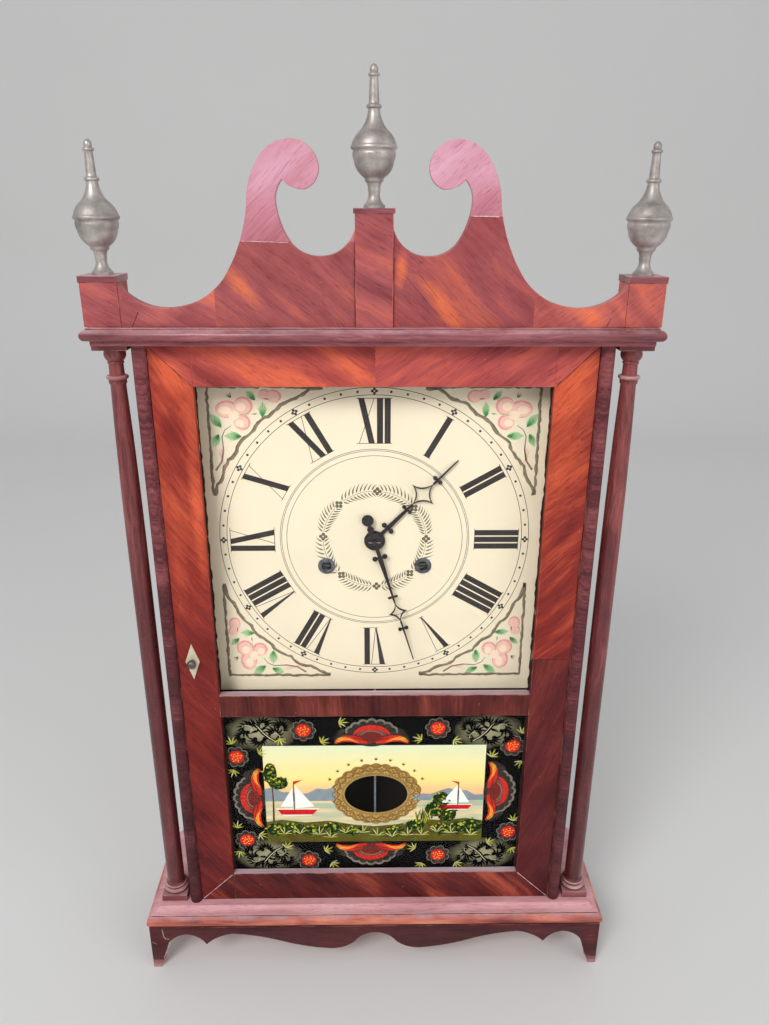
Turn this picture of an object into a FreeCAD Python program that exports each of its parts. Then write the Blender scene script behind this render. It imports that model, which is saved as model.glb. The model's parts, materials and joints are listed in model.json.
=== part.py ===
"""Pillar and scroll shelf clock: a case of boards, turned columns and a scrolled crest, a hinged door with
two panes, a painted dial, and a weight-driven time and strike movement with wooden plates behind it.

The frame is millimetres with +Z up, the front of the clock faces -Y, and the origin is on the floor under
the middle of the base.
"""
import FreeCAD, Part
import math
import os
import Sketcher
from FreeCAD import Rotation, Vector

SIZES = {
    # Base
    "base_width": 440.0,
    "base_depth": 114.0,
    "base_height": 69.0,
    "bead_board_thick": 11.6,
    "top_board_thick": 6.0,
    "top_board_setback": 4.0,
    "top_board_lip": 1.2,
    "top_board_cove": 7.6,
    "apron_setback": 1.5,
    "apron_thick": 9.0,
    "foot_width": 7.4,
    "foot_spread": 7.0,
    "foot_rise": 21.0,
    "bracket_width": 54.0,
    "bracket_peak": 36.5,
    "bracket_rise": 42.2,
    "cusp_rise": 29.0,
    "apron_high": 42.6,
    "apron_low": 22.4,
    "apron_low_place": 44.0,
    "apron_high_place": 138.0,
    "apron_arch_half": 20.0,
    "apron_arch_foot": 31.5,
    "apron_arch_rise": 11.2,
    "foot_swell": 6.0,
    "cusp_swell": 2.7,
    "apron_swell": 1.6,
    "apron_low_swell": 2.8,
    "bead_swell": 3.4,
    "rear_foot_width": 16.0,
    "glue_block": 16.0,
    # Case
    "case_half_width": 179.7,
    "case_front_setback": 18.3,
    "case_height": 538.4,
    "side_thick": 10.9,
    "backboard_thick": 8.0,
    "strip_proud": 4.4,
    # Columns
    "column_place": 195.2,
    "column_setback": 29.0,
    "plinth_side": 24.2,
    "plinth_height": 7.0,
    "abacus_side": 26.0,
    "abacus_height": 5.2,
    "shaft_base_radius": 8.1,
    "shaft_waist_radius": 7.8,
    "shaft_top_radius": 5.9,
    "shaft_taper_start": 372.0,
    # Cornice and crest
    "soffit_thick": 3.8,
    "soffit_half_width": 205.0,
    "soffit_setback": 5.6,
    "cornice_thick": 9.2,
    "cornice_half_width": 210.7,
    "cornice_setback": 0.1,
    "crest_setback": 9.7,
    "crest_thick": 8.0,
    "die_inner": 182.0,
    "die_width": 26.7,
    "die_height": 30.8,
    "die_depth": 26.7,
    "die_proud": 0.7,
    "cap_overhang": 0.6,
    "cap_thick": 4.7,
    "crest_plinth_half": 13.4,
    "crest_web_step": 0.8,
    "crest_plinth_proud": 2.2,
    "crest_plinth_height": 77.0,
    "centre_cap_half": 14.5,
    "centre_cap_thick": 3.6,
    "centre_cap_depth": 18.4,
    # Finials
    "finial_height": 88.4,
    "finial_foot_radius": 7.5,
    "finial_belly_radius": 14.9,
    "finial_ring_radius": 16.0,
    "finial_tip_radius": 0.8,
    "side_finial_place": 195.0,
    "side_finial_setback": 12.9,
    "finial_pin_radius": 2.5,
    "finial_pin_length": 3.0,
    # Door
    "door_side_gap": 0.5,
    "door_foot_gap": 0.5,
    "door_head_gap": 1.5,
    "door_thick": 16.0,
    "stile_width": 31.8,
    "top_rail_width": 31.1,
    "middle_rail_width": 21.6,
    "bottom_rail_width": 31.4,
    "tablet_opening": 179.4,
    "rabbet_width": 5.0,
    "rabbet_lip": 6.7,
    "glass_thick": 2.0,
    "glass_play": 0.5,
    "hinge_inset_x": 2.8,
    "hinge_inset_y": 1.5,
    "hinge_pin_radius": 0.8,
    "hinge_pin_grip": 3.6,
    "hinge_pin_reach": 8.0,
    "escutcheon_width": 12.2,
    "escutcheon_height": 34.6,
    "escutcheon_thick": 1.2,
    "escutcheon_inset": 12.3,
    "escutcheon_rise": 268.0,
    "knob_radius": 4.0,
    "knob_length": 7.0,
    "knob_stem_radius": 1.5,
    "latch_length": 17.0,
    "latch_width": 6.0,
    "latch_thick": 2.0,
    "latch_slot": 6.0,
    "latch_slot_half": 12.5,
    "latch_gap": 0.3,
    # Dial and hands
    "dial_gap": 9.7,
    "dial_thick": 7.0,
    "dial_play": 0.5,
    "dial_rise": 223.0,
    "dial_head_gap": 9.4,
    "centre_rise": 370.3,
    "dial_hole_radius": 6.5,
    "winding_place": 41.1,
    "winding_drop": 24.0,
    "grommet_radius": 7.3,
    "grommet_hole_radius": 4.2,
    "grommet_flange": 1.0,
    "grommet_rim": 1.5,
    "cleat_width": 10.0,
    "cleat_thick": 9.0,
    "hour_hand_length": 97.9,
    "minute_hand_length": 118.5,
    "hand_thick": 1.0,
    "hand_gap": 1.6,
    "hand_hub_radius": 8.8,
    "hand_wire": 1.3,
    "hour_lozenge_half": 12.3,
    "minute_lozenge_half": 8.0,
    "hour_pipe_radius": 4.0,
    "arbor_nose": 2.5,
    "hour_hand_angle": 44.0,
    "minute_hand_angle": 163.2,
    # Movement
    "plate_half_width": 95.0,
    "plate_rise": 77.7,
    "plate_drop": 80.0,
    "plate_thick": 6.0,
    "plate_room": 27.0,
    "motion_room": 12.0,
    "pillar_radius": 4.0,
    "pillar_place": 60.0,
    "pillar_rise": 72.7,
    "pillar_drop": 71.3,
    "rail_width": 16.0,
    "rail_inset": 9.0,
    "running_fit": 0.05,
    "end_play": 0.3,
    "hour_wheel_gap": 0.8,
    "minute_wheel_gap": 3.5,
    "escape_gap": 7.0,
    "pendulum_gap": 3.0,
    "great_wheel_gap": 2.0,
    "third_wheel_gap": 7.0,
    "centre_wheel_gap": 13.0,
    "pin_wheel_gap": 15.0,
    "hammer_depth": 10.0,
    "drum_gap": 1.0,
    "drum_front_gap": 3.0,
    "arbor_radius": 2.0,
    "pivot_radius": 1.5,
    "winding_arbor_radius": 3.5,
    "drum_radius": 14.0,
    "drum_flange_radius": 16.0,
    "drum_flange_thick": 1.5,
    "wheel_thick": 3.0,
    "great_wheel_thick": 4.0,
    "light_wheel_thick": 2.5,
    "pinion_lap": 1.0,
    "train_module": 0.8,
    "count_module": 0.7,
    "escape_rise": 57.0,
    "escape_radius": 15.3,
    "escape_tooth": 2.0,
    "verge_drop": 19.3,
    "verge_gap": 1.3,
    "verge_width": 2.2,
    "verge_spread": 42.0,
    "eye_wall": 1.4,
    "eye_half_thick": 0.9,
    "crutch_drop": 21.0,
    "crutch_play": 0.5,
    "suspension_pin_radius": 1.2,
    "pendulum_length": 365.0,
    "pendulum_rod_radius": 1.0,
    "pendulum_loop_radius": 8.0,
    "bob_radius": 20.0,
    "bob_thick": 9.0,
    "bob_edge": 1.0,
    "bob_crown_radius": 7.0,
    "nut_radius": 3.0,
    "nut_gap": 4.0,
    "fly_radius": 16.0,
    "fly_depth": 8.0,
    "fly_thick": 1.0,
    "pin_circle_radius": 20.0,
    "lifting_pin_radius": 1.0,
    "lifting_pin_length": 4.0,
    "pin_wheel_lean": 28.0,
    "fly_lean": 44.4,
    "count_lean": 227.0,
    "hammer_aside": 20.6,
    "hammer_up": 32.7,
    "hammer_tail": 14.5,
    "hammer_head_rise": 2.0,
    "wire_radius": 1.2,
    "crutch_wire_radius": 0.8,
    "hammer_head_radius": 4.0,
    "hammer_head_length": 8.0,
    "bell_radius": 25.0,
    "bell_wall": 1.6,
    "bell_place": 30.0,
    "bell_rise": 109.0,
    "bell_stand_radius": 2.0,
    "hammer_gap": 1.0,
    # Weights and pulleys
    "weight_radius": 19.0,
    "weight_height": 110.0,
    "weight_place": 135.0,
    "weight_forward": 5.5,
    "weight_eye_radius": 5.0,
    "weight_eye_wire": 1.5,
    "weight_foot_gap": 0.3,
    "pulley_radius": 12.0,
    "pulley_width": 6.0,
    "pulley_groove": 2.0,
    "pulley_rim": 1.0,
    "pulley_pin_radius": 1.5,
    "pulley_drop": 22.0,
    "bracket_wall": 2.0,
    "bracket_bridge": 3.0,
    "bracket_block_width": 16.0,
    "bracket_play": 0.5,
}

# Tooth counts
GREAT_TEETH = 80
CENTRE_PINION_LEAVES = 8
CENTRE_TEETH = 72
THIRD_PINION_LEAVES = 8
THIRD_TEETH = 60
ESCAPE_PINION_LEAVES = 8
ESCAPE_TEETH = 44
CANNON_LEAVES = 12
MINUTE_TEETH = 36
MINUTE_PINION_LEAVES = 10
HOUR_TEETH = 40
PIN_WHEEL_TEETH = 60
PIN_PINION_LEAVES = 8
FLY_PINION_LEAVES = 8
COUNT_TEETH = 78
COUNT_PINION_LEAVES = 8
LIFTING_PINS = 8

# How far a cutting tool passes each face that it opens
PAST = 1.0


class Size:
    """A length in millimetres that also knows the expression it comes from."""

    def __init__(self, number, text):
        self.number = number
        self.text = text

    def joined(self, other, sign, number):
        return Size(number, "(%s %s %s)" % (self.text, sign, text_of(other)))

    def __add__(self, other):
        return self.joined(other, "+", self.number + number_of(other))

    def __sub__(self, other):
        return self.joined(other, "-", self.number - number_of(other))

    def __mul__(self, other):
        return self.joined(other, "*", self.number * number_of(other))

    def __truediv__(self, other):
        return self.joined(other, "/", self.number / number_of(other))

    def __neg__(self):
        return Size(-self.number, "(0 - %s)" % self.text)

    def __radd__(self, other):
        return as_size(other) + self

    def __rsub__(self, other):
        return as_size(other) - self

    def __rmul__(self, other):
        return as_size(other) * self

    def __float__(self):
        return float(self.number)


def number_of(value):
    return float(value)


def text_of(value):
    return value.text if isinstance(value, Size) else "(%r)" % float(value)


def as_size(value):
    return value if isinstance(value, Size) else Size(float(value), "(%r)" % float(value))


class Sizes:
    """Every driving dimension as a Size, read back from the sheet."""

    def __init__(self, sheet, names):
        for name in names:
            setattr(self, name, Size(float(sheet.get(name)), "Sizes." + name))


def make_sheet(document):
    sheet = document.addObject("Spreadsheet::Sheet", "Sizes")
    for row, (name, value) in enumerate(SIZES.items(), 1):
        sheet.set("A%d" % row, name.replace("_", " "))
        sheet.set("B%d" % row, str(value))
        sheet.setAlias("B%d" % row, name)
    document.recompute()
    return sheet


doc = FreeCAD.newDocument("pillar_and_scroll_clock")
S = Sizes(make_sheet(doc), SIZES)
SUBPARTS = []

# Planes and levels that several pieces share
half_width = S.base_width / 2
front = -S.base_depth / 2
back = S.base_depth / 2
bead_top = S.base_height - S.top_board_thick
bead_foot = bead_top - S.bead_board_thick
base_top = S.base_height
case_top = base_top + S.case_height
case_front = front + S.case_front_setback
case_inner = S.case_half_width - S.side_thick
backboard_front = back - S.backboard_thick
cornice_foot = case_top + S.soffit_thick
cornice_top = cornice_foot + S.cornice_thick
crest_front = front + S.crest_setback
crest_back = crest_front + S.crest_thick
side_finial_y = crest_front + S.side_finial_setback
centre_finial_y = crest_front - S.crest_plinth_proud - S.cap_overhang + S.centre_cap_depth / 2
column_y = front + S.column_setback
door_back = case_front + S.door_thick
door_half = case_inner - S.door_side_gap
door_foot = base_top + S.door_foot_gap
door_head = case_top - S.door_head_gap
opening_half = door_half - S.stile_width
rabbet_y = case_front + S.rabbet_lip
tablet_low = door_foot + S.bottom_rail_width
tablet_high = tablet_low + S.tablet_opening
glass_low = tablet_high + S.middle_rail_width
glass_high = door_head - S.top_rail_width
hinge_x = door_half - S.hinge_inset_x
hinge_y = case_front + S.hinge_inset_y
latch_x = -door_half + S.escutcheon_inset
latch_z = door_foot + S.escutcheon_rise
dial_front = door_back + S.dial_gap
dial_back = dial_front + S.dial_thick
dial_foot = base_top + S.dial_rise
dial_head = case_top - S.dial_head_gap
plate_front = dial_back + S.motion_room
plate_inner = plate_front + S.plate_thick
back_plate_front = plate_inner + S.plate_room
back_plate_back = back_plate_front + S.plate_thick
weight_y = (dial_back + backboard_front) / 2 - S.weight_forward
centre_z = base_top + S.centre_rise
winding_z = centre_z - S.winding_drop
great_distance = math.hypot(float(S.winding_place), float(S.winding_drop))


def bind(thing, path, value):
    thing.setExpression(path, text_of(value))


def place(thing, x, y, z):
    bind(thing, "Placement.Base.x", x)
    bind(thing, "Placement.Base.y", y)
    bind(thing, "Placement.Base.z", z)
    return thing


def subpart(thing, label):
    thing.Label = label
    SUBPARTS.append(thing)
    return thing


def board(name, low, high):
    """A plain rectangular piece between two corners."""
    box = doc.addObject("Part::Box", name)
    bind(box, "Length", high[0] - low[0])
    bind(box, "Width", high[1] - low[1])
    bind(box, "Height", high[2] - low[2])
    return place(box, low[0], low[1], low[2])


def rod(name, radius, length, foot, axis=Vector(0, 0, 1)):
    """A plain cylinder from its foot along an axis."""
    cylinder = doc.addObject("Part::Cylinder", name)
    cylinder.Placement.Rotation = Rotation(Vector(0, 0, 1), axis)
    bind(cylinder, "Radius", radius)
    bind(cylinder, "Height", length)
    return place(cylinder, foot[0], foot[1], foot[2])


def joined(name, pieces):
    fuse = doc.addObject("Part::MultiFuse", name)
    fuse.Shapes = pieces
    return fuse


def cut(name, base, tool):
    result = doc.addObject("Part::Cut", name)
    result.Base = base
    result.Tool = tool
    return result


def group(name, pieces):
    compound = doc.addObject("Part::Compound", name)
    compound.Links = pieces
    return compound


def origin_plane(body, role):
    return [plane for plane in body.Origin.OriginFeatures if plane.Role == role][0]


def fix_point(sketch, geometry, end, across, along):
    """Ties one end of an edge to its distances from the sketch's origin."""
    for kind, value in (("DistanceX", across), ("DistanceY", along)):
        constraint = Sketcher.Constraint(kind, -1, 1, geometry, end, float(value))
        index = sketch.addConstraint(constraint)
        bind(sketch, "Constraints[%d]" % index, value)


def draw_outline(sketch, points):
    """A closed outline. A point is (across, along) after a straight edge, or (across, along, rise) after an
    arc that stands its rise to the right of the way from the point before."""
    edges = []
    for index, point in enumerate(points):
        before = points[index - 1]
        start = Vector(float(before[0]), float(before[1]), 0)
        finish = Vector(float(point[0]), float(point[1]), 0)
        if len(point) == 2:
            edges.append(sketch.addGeometry(Part.LineSegment(start, finish), False))
            continue
        way = finish - start
        aside = Vector(way.y, -way.x, 0).normalize()
        middle = (start + finish) / 2 + aside * float(point[2])
        edges.append(sketch.addGeometry(Part.Arc(start, middle, finish), False))
    for index, point in enumerate(points):
        if len(point) == 2:
            fix_point(sketch, edges[index], 2, point[0], point[1])
        else:
            # An arc runs anticlockwise, so one that bends the other way ends at its first end.
            end = 2 if float(point[2]) > 0 else 1
            fix_point(sketch, edges[index], end, point[0], point[1])
            before = points[index - 1]
            across = as_size(point[0]) - before[0]
            along = as_size(point[1]) - before[1]
            rise = as_size(point[2])
            if float(rise) < 0:
                rise = -rise
            radius = (across * across + along * along + 4 * rise * rise) / (8 * rise)
            constraint = sketch.addConstraint(Sketcher.Constraint("Radius", edges[index], float(radius)))
            bind(sketch, "Constraints[%d]" % constraint, radius)
    for index, point in enumerate(points):
        before = index - 1
        previous = points[before]
        leaves = 1 if len(point) == 2 or float(point[2]) > 0 else 2
        arrives = 2 if len(previous) == 2 or float(previous[2]) > 0 else 1
        joint = Sketcher.Constraint("Coincident", edges[before], arrives, edges[index], leaves)
        sketch.addConstraint(joint)


def new_sketch(body, role, name):
    sketch = body.newObject("Sketcher::SketchObject", name)
    sketch.AttachmentSupport = [(origin_plane(body, role), "")]
    sketch.MapMode = "FlatFace"
    return sketch


def sawn(name, role, outline, thick, corner):
    """A board sawn to an outline. On XZ_Plane it runs forwards from its corner, on YZ_Plane to the right."""
    body = doc.addObject("PartDesign::Body", name)
    sketch = new_sketch(body, role, name + "_outline")
    draw_outline(sketch, outline)
    pad = body.newObject("PartDesign::Pad", name + "_pad")
    pad.Profile = sketch
    bind(pad, "Length", thick)
    return place(body, corner[0], corner[1], corner[2])


def turned(name, role, profile, foot):
    """A turned piece: the profile is (radius, height) points round the upright axis of its sketch."""
    body = doc.addObject("PartDesign::Body", name)
    sketch = new_sketch(body, role, name + "_profile")
    draw_outline(sketch, profile)
    turning = body.newObject("PartDesign::Revolution", name + "_turning")
    turning.Profile = sketch
    turning.ReferenceAxis = (sketch, ["V_Axis"])
    turning.Angle = 360
    return place(body, foot[0], foot[1], foot[2])


def moulded_board(name, half, edge_front, edge_back, foot, edge):
    """A board moulded on its front and both ends, mitred where they meet. The edge is (inset, height[,
    rise]) points from the foot up."""
    thick = edge[-1][1]
    right = [(half - point[0],) + tuple(point[1:]) for point in edge]
    left = [(-half + edge[-1][0], thick)]
    for index in range(len(edge) - 2, -1, -1):
        later = edge[index + 1]
        left.append((-half + edge[index][0], edge[index][1]) + tuple(later[2:]))
    along = sawn(name + "_ends", "XZ_Plane", right + left, edge_back - edge_front, (0, edge_back, foot))
    front_edge = []
    for index in range(len(edge) - 1, -1, -1):
        rise = tuple(edge[index + 1][2:]) if index < len(edge) - 1 else ()
        front_edge.append((edge_front + edge[index][0], edge[index][1]) + rise)
    side = [(edge_back, 0), (edge_back, thick)] + front_edge
    across = sawn(name + "_front", "YZ_Plane", side, half * 2, (-half, 0, foot))
    common = doc.addObject("Part::MultiCommon", name)
    common.Shapes = [along, across]
    return common


def shape_piece(name, shape, x=0.0, y=0.0, z=0.0, turn=0.0):
    """A piece whose shape no feature makes simply; it may be turned about the way through the dial."""
    feature = doc.addObject("Part::Feature", name)
    feature.Shape = shape
    turned_by = Rotation(Vector(0, 1, 0), float(turn))
    feature.Placement = FreeCAD.Placement(Vector(float(x), float(y), float(z)), turned_by)
    return feature


def mirrored(half_outline):
    """The other half of an outline, walked back across the middle."""
    points = []
    for index in range(len(half_outline) - 1, -1, -1):
        rise = tuple(half_outline[index + 1][2:]) if index < len(half_outline) - 1 else ()
        points.append((-as_size(half_outline[index][0]), half_outline[index][1]) + rise)
    return points


def make_base():
    apron_half = half_width - S.apron_setback
    low_middle = (S.apron_low_place + S.apron_high_place) / 2
    low_level = (S.apron_low + S.apron_high) / 2
    right_edge = [
        (S.apron_arch_half, S.apron_arch_foot, -S.apron_arch_rise),
        (S.apron_low_place, S.apron_low, S.apron_low_swell),
        (low_middle, low_level, S.apron_swell),
        (S.apron_high_place, S.apron_high, -S.apron_swell),
        (apron_half - S.bracket_width, S.cusp_rise, -S.cusp_swell),
        (apron_half - S.bracket_peak, S.bracket_rise, -S.cusp_swell),
        (apron_half - S.foot_width - S.foot_spread, S.foot_rise, -S.foot_swell),
        (apron_half - S.foot_width, 0),
        (apron_half, 0),
        (apron_half, bead_foot),
    ]
    outline = right_edge + mirrored(right_edge)
    apron_back = front + S.apron_setback + S.apron_thick
    subpart(sawn("Apron", "XZ_Plane", outline, S.apron_thick, (0, apron_back, 0)), "base_apron")

    rear_foot = back - S.rear_foot_width
    side_foot = apron_back + S.foot_width / 2
    side_outline = [
        (apron_back, 0),
        (side_foot, 0),
        (side_foot + S.foot_spread, S.foot_rise),
        (apron_back + S.bracket_peak, S.bracket_rise, -S.foot_swell),
        (rear_foot - S.bracket_peak / 2, S.bracket_rise),
        (rear_foot, S.foot_rise, -S.foot_swell),
        (rear_foot, 0),
        (back, 0),
        (back, bead_foot),
        (apron_back, bead_foot),
    ]
    for side, x in (("left", -apron_half), ("right", apron_half - S.apron_thick)):
        piece = sawn("BaseSide_" + side, "YZ_Plane", side_outline, S.apron_thick, (x, 0, 0))
        subpart(piece, "base_%s_side" % side)

    bead = [(S.bead_swell, 0), (S.bead_swell, S.bead_board_thick, S.bead_swell)]
    subpart(moulded_board("BeadBoard", half_width, front, back, bead_foot, bead), "base_bead_board")

    cove = [
        (0, 0),
        (0, S.top_board_lip),
        (S.top_board_cove, S.top_board_thick - S.top_board_lip, -S.top_board_lip),
        (S.top_board_cove, S.top_board_thick),
    ]
    top_half = half_width - S.top_board_setback
    plain = moulded_board("TopBoardBlank", top_half, front + S.top_board_setback, back, bead_top, cove)
    socket = hinge_socket("BaseSocket", bead_top - PAST, S.top_board_thick + 2 * PAST)
    subpart(cut("TopBoard", plain, socket), "base_top_board")

    blocks = []
    block_outer = apron_half - S.apron_thick
    for x in (-block_outer, block_outer - S.glue_block):
        for y in (apron_back, back - S.glue_block):
            low = (x, y, S.bracket_rise)
            high = (x + S.glue_block, y + S.glue_block, bead_foot)
            blocks.append(board("GlueBlock", low, high))
    subpart(group("GlueBlocks", blocks), "base_glue_blocks")


def hinge_socket(name, foot, length):
    """The upright hole that a hinge pin is driven into; the pins are made the same way."""
    return rod(name, S.hinge_pin_radius, length, (hinge_x, hinge_y, foot))


def make_case():
    left_corner = (-S.case_half_width, case_front, base_top)
    left_blank = board("LeftSideBlank", left_corner, (-case_inner, back, case_top))
    slot_low = (-case_inner - S.latch_slot, door_back, latch_z - S.latch_slot_half)
    slot_high = (-case_inner + PAST, door_back + S.latch_thick * 2, latch_z + S.latch_slot_half)
    subpart(cut("LeftSide", left_blank, board("LatchSlot", slot_low, slot_high)), "case_left_side")
    right = board("RightSide", (case_inner, case_front, base_top), (S.case_half_width, back, case_top))
    subpart(right, "case_right_side")
    backboard = board("Backboard", (-case_inner, backboard_front, base_top), (case_inner, back, case_top))
    subpart(backboard, "case_backboard")

    strips = []
    for sign in (-1, 1):
        section = [
            (sign * case_inner, case_front, -sign * S.strip_proud),
            (sign * S.case_half_width, case_front),
        ]
        strips.append(sawn("Strip", "XY_Plane", section, S.case_height, (0, 0, base_top)))
    subpart(group("Strips", strips), "case_front_strips")


def make_columns():
    shaft_foot = base_top + S.plinth_height
    length = case_top - S.abacus_height - shaft_foot
    neck = S.shaft_top_radius
    profile = [
        (0, 0),
        (9.6, 0),
        (9.6, 5.0, 2.2),
        (8.8, 5.0),
        (8.8, 8.6, 1.4),
        (S.shaft_base_radius + 1.0, 8.6),
        (S.shaft_base_radius, 13.0, -0.7),
        (S.shaft_waist_radius, S.shaft_taper_start),
        (neck, length - 27.2, 0.4),
        (neck + 0.9, length - 26.2),
        (neck + 0.9, length - 23.1),
        (neck + 1.1, length - 23.1),
        (neck + 1.1, length - 20.1, 1.3),
        (neck - 0.2, length - 19.6),
        (neck - 0.4, length - 11.4),
        (neck - 0.3, length - 11.4),
        (neck - 0.3, length - 9.6, 0.7),
        (neck, length - 9.2),
        (neck + 1.95, length - 2.0, 1.2),
        (neck + 1.95, length),
        (0, length),
    ]
    plinths = []
    abaci = []
    for side, sign in (("left", -1), ("right", 1)):
        x = sign * S.column_place
        subpart(turned("Column_" + side, "XZ_Plane", profile, (x, column_y, shaft_foot)), side + "_column")
        half = S.plinth_side / 2
        low = (x - half, column_y - half, base_top)
        plinths.append(board("Plinth", low, (x + half, column_y + half, shaft_foot)))
        half = S.abacus_side / 2
        low = (x - half, column_y - half, case_top - S.abacus_height)
        abaci.append(board("Abacus", low, (x + half, column_y + half, case_top)))
    subpart(group("Plinths", plinths), "column_plinths")
    subpart(group("Abaci", abaci), "column_abaci")


def make_cornice():
    low = (-S.soffit_half_width, front + S.soffit_setback, case_top)
    high = (S.soffit_half_width, back, cornice_foot)
    socket = hinge_socket("SoffitSocket", case_top - PAST, S.soffit_thick + 2 * PAST)
    subpart(cut("Soffit", board("SoffitBlank", low, high), socket), "cornice_soffit_board")
    bead = [
        (2.4, 0),
        (2.4, S.cornice_thick - 1.6, 2.4),
        (4.0, S.cornice_thick - 1.6),
        (4.0, S.cornice_thick),
    ]
    cornice_front = front + S.cornice_setback
    piece = moulded_board("CorniceBead", S.cornice_half_width, cornice_front, back, cornice_foot, bead)
    subpart(piece, "cornice_bead_board")


def make_crest():
    web = S.crest_plinth_half - S.crest_web_step
    right_edge = [
        (web, S.crest_plinth_height),
        (web, 72.0),
        (38.4, 48.9, 6.9),
        (57.4, 56.8, 2.2),
        (67.9, 86.0, 2.3),
        (62.8, 98.8, 1.2),
        (48.2, 92.4, -1.8),
        (37.7, 108.2, -3.6),
        (58.6, 124.0, -5.3),
        (79.2, 110.9, -2.9),
        (87.8, 82.1, -2.1),
        (106.8, 33.6, 3.0),
        (S.die_inner - 34.0, 13.3, 5.2),
        (S.die_inner, 29.6, 4.6),
        (S.die_inner, 0),
    ]
    outline = right_edge + mirrored(right_edge)
    subpart(sawn("Crest", "XZ_Plane", outline, S.crest_thick, (0, crest_back, cornice_top)), "crest_board")

    die_front = crest_front - S.die_proud
    dies = []
    caps = []
    for sign in (-1, 1):
        middle = sign * (S.die_inner + S.die_width / 2)
        reach = S.die_width / 2
        die_top = cornice_top + S.die_height
        low = (middle - reach, die_front, cornice_top)
        dies.append(board("Die", low, (middle + reach, die_front + S.die_depth, die_top)))
        reach = reach + S.cap_overhang
        blank = board(
            "CapBlank",
            (middle - reach, die_front - S.cap_overhang, die_top),
            (middle + reach, die_front + S.die_depth + S.cap_overhang, die_top + S.cap_thick),
        )
        caps.append(pinned("Cap", blank, sign * S.side_finial_place, side_finial_y, die_top + S.cap_thick))
    plinth_top = cornice_top + S.crest_plinth_height
    low = (-S.crest_plinth_half, crest_front - S.crest_plinth_proud, cornice_top)
    dies.append(board("CrestPlinth", low, (S.crest_plinth_half, crest_front, plinth_top)))
    cap_front = centre_finial_y - S.centre_cap_depth / 2
    blank = board(
        "CentreCapBlank",
        (-S.centre_cap_half, cap_front, plinth_top),
        (S.centre_cap_half, cap_front + S.centre_cap_depth, plinth_top + S.centre_cap_thick),
    )
    caps.append(pinned("CentreCap", blank, 0, centre_finial_y, plinth_top + S.centre_cap_thick))
    subpart(group("Dies", dies), "crest_dies")
    subpart(group("Caps", caps), "crest_caps")


def pinned(name, blank, x, y, top):
    """A cap with the hole that a finial's pin drops into."""
    depth = S.finial_pin_length
    hole = rod(name + "Hole", S.finial_pin_radius, depth + PAST, (x, y, top - depth))
    return cut(name, blank, hole)


def make_finials():
    tall = S.finial_height
    belly = S.finial_belly_radius
    profile = [
        (0, -S.finial_pin_length),
        (S.finial_pin_radius, -S.finial_pin_length),
        (S.finial_pin_radius, 0),
        (S.finial_foot_radius, 0),
        (S.finial_foot_radius, tall * 0.02),
        (belly * 0.29, tall * 0.13, -1.6),
        (belly * 0.36, tall * 0.185, -0.4),
        (belly * 0.44, tall * 0.195),
        (belly * 0.44, tall * 0.212),
        (belly * 0.52, tall * 0.225),
        (belly * 0.93, tall * 0.34, 1.3),
        (belly, tall * 0.395, 0.3),
        (belly * 0.96, tall * 0.41),
        (S.finial_ring_radius - 0.7, tall * 0.42),
        (S.finial_ring_radius - 0.7, tall * 0.45, 0.7),
        (belly * 0.62, tall * 0.555, 1.0),
        (belly * 0.27, tall * 0.69, -1.0),
        (belly * 0.27, tall * 0.70),
        (belly * 0.27, tall * 0.73, 1.2),
        (belly * 0.24, tall * 0.735),
        (belly * 0.19, tall * 0.91),
        (belly * 0.2, tall * 0.915),
        (belly * 0.2, tall * 0.94, 0.9),
        (belly * 0.17, tall * 0.945),
        (S.finial_tip_radius, tall, 1.0),
        (0, tall),
    ]
    sides = []
    side_foot = cornice_top + S.die_height + S.cap_thick
    for sign in (-1, 1):
        foot = (sign * S.side_finial_place, side_finial_y, side_foot)
        sides.append(turned("SideFinial", "XZ_Plane", profile, foot))
    subpart(group("SideFinials", sides), "side_finials")
    centre_foot = cornice_top + S.crest_plinth_height + S.centre_cap_thick
    subpart(turned("CentreFinial", "XZ_Plane", profile, (0, centre_finial_y, centre_foot)), "centre_finial")


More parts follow.
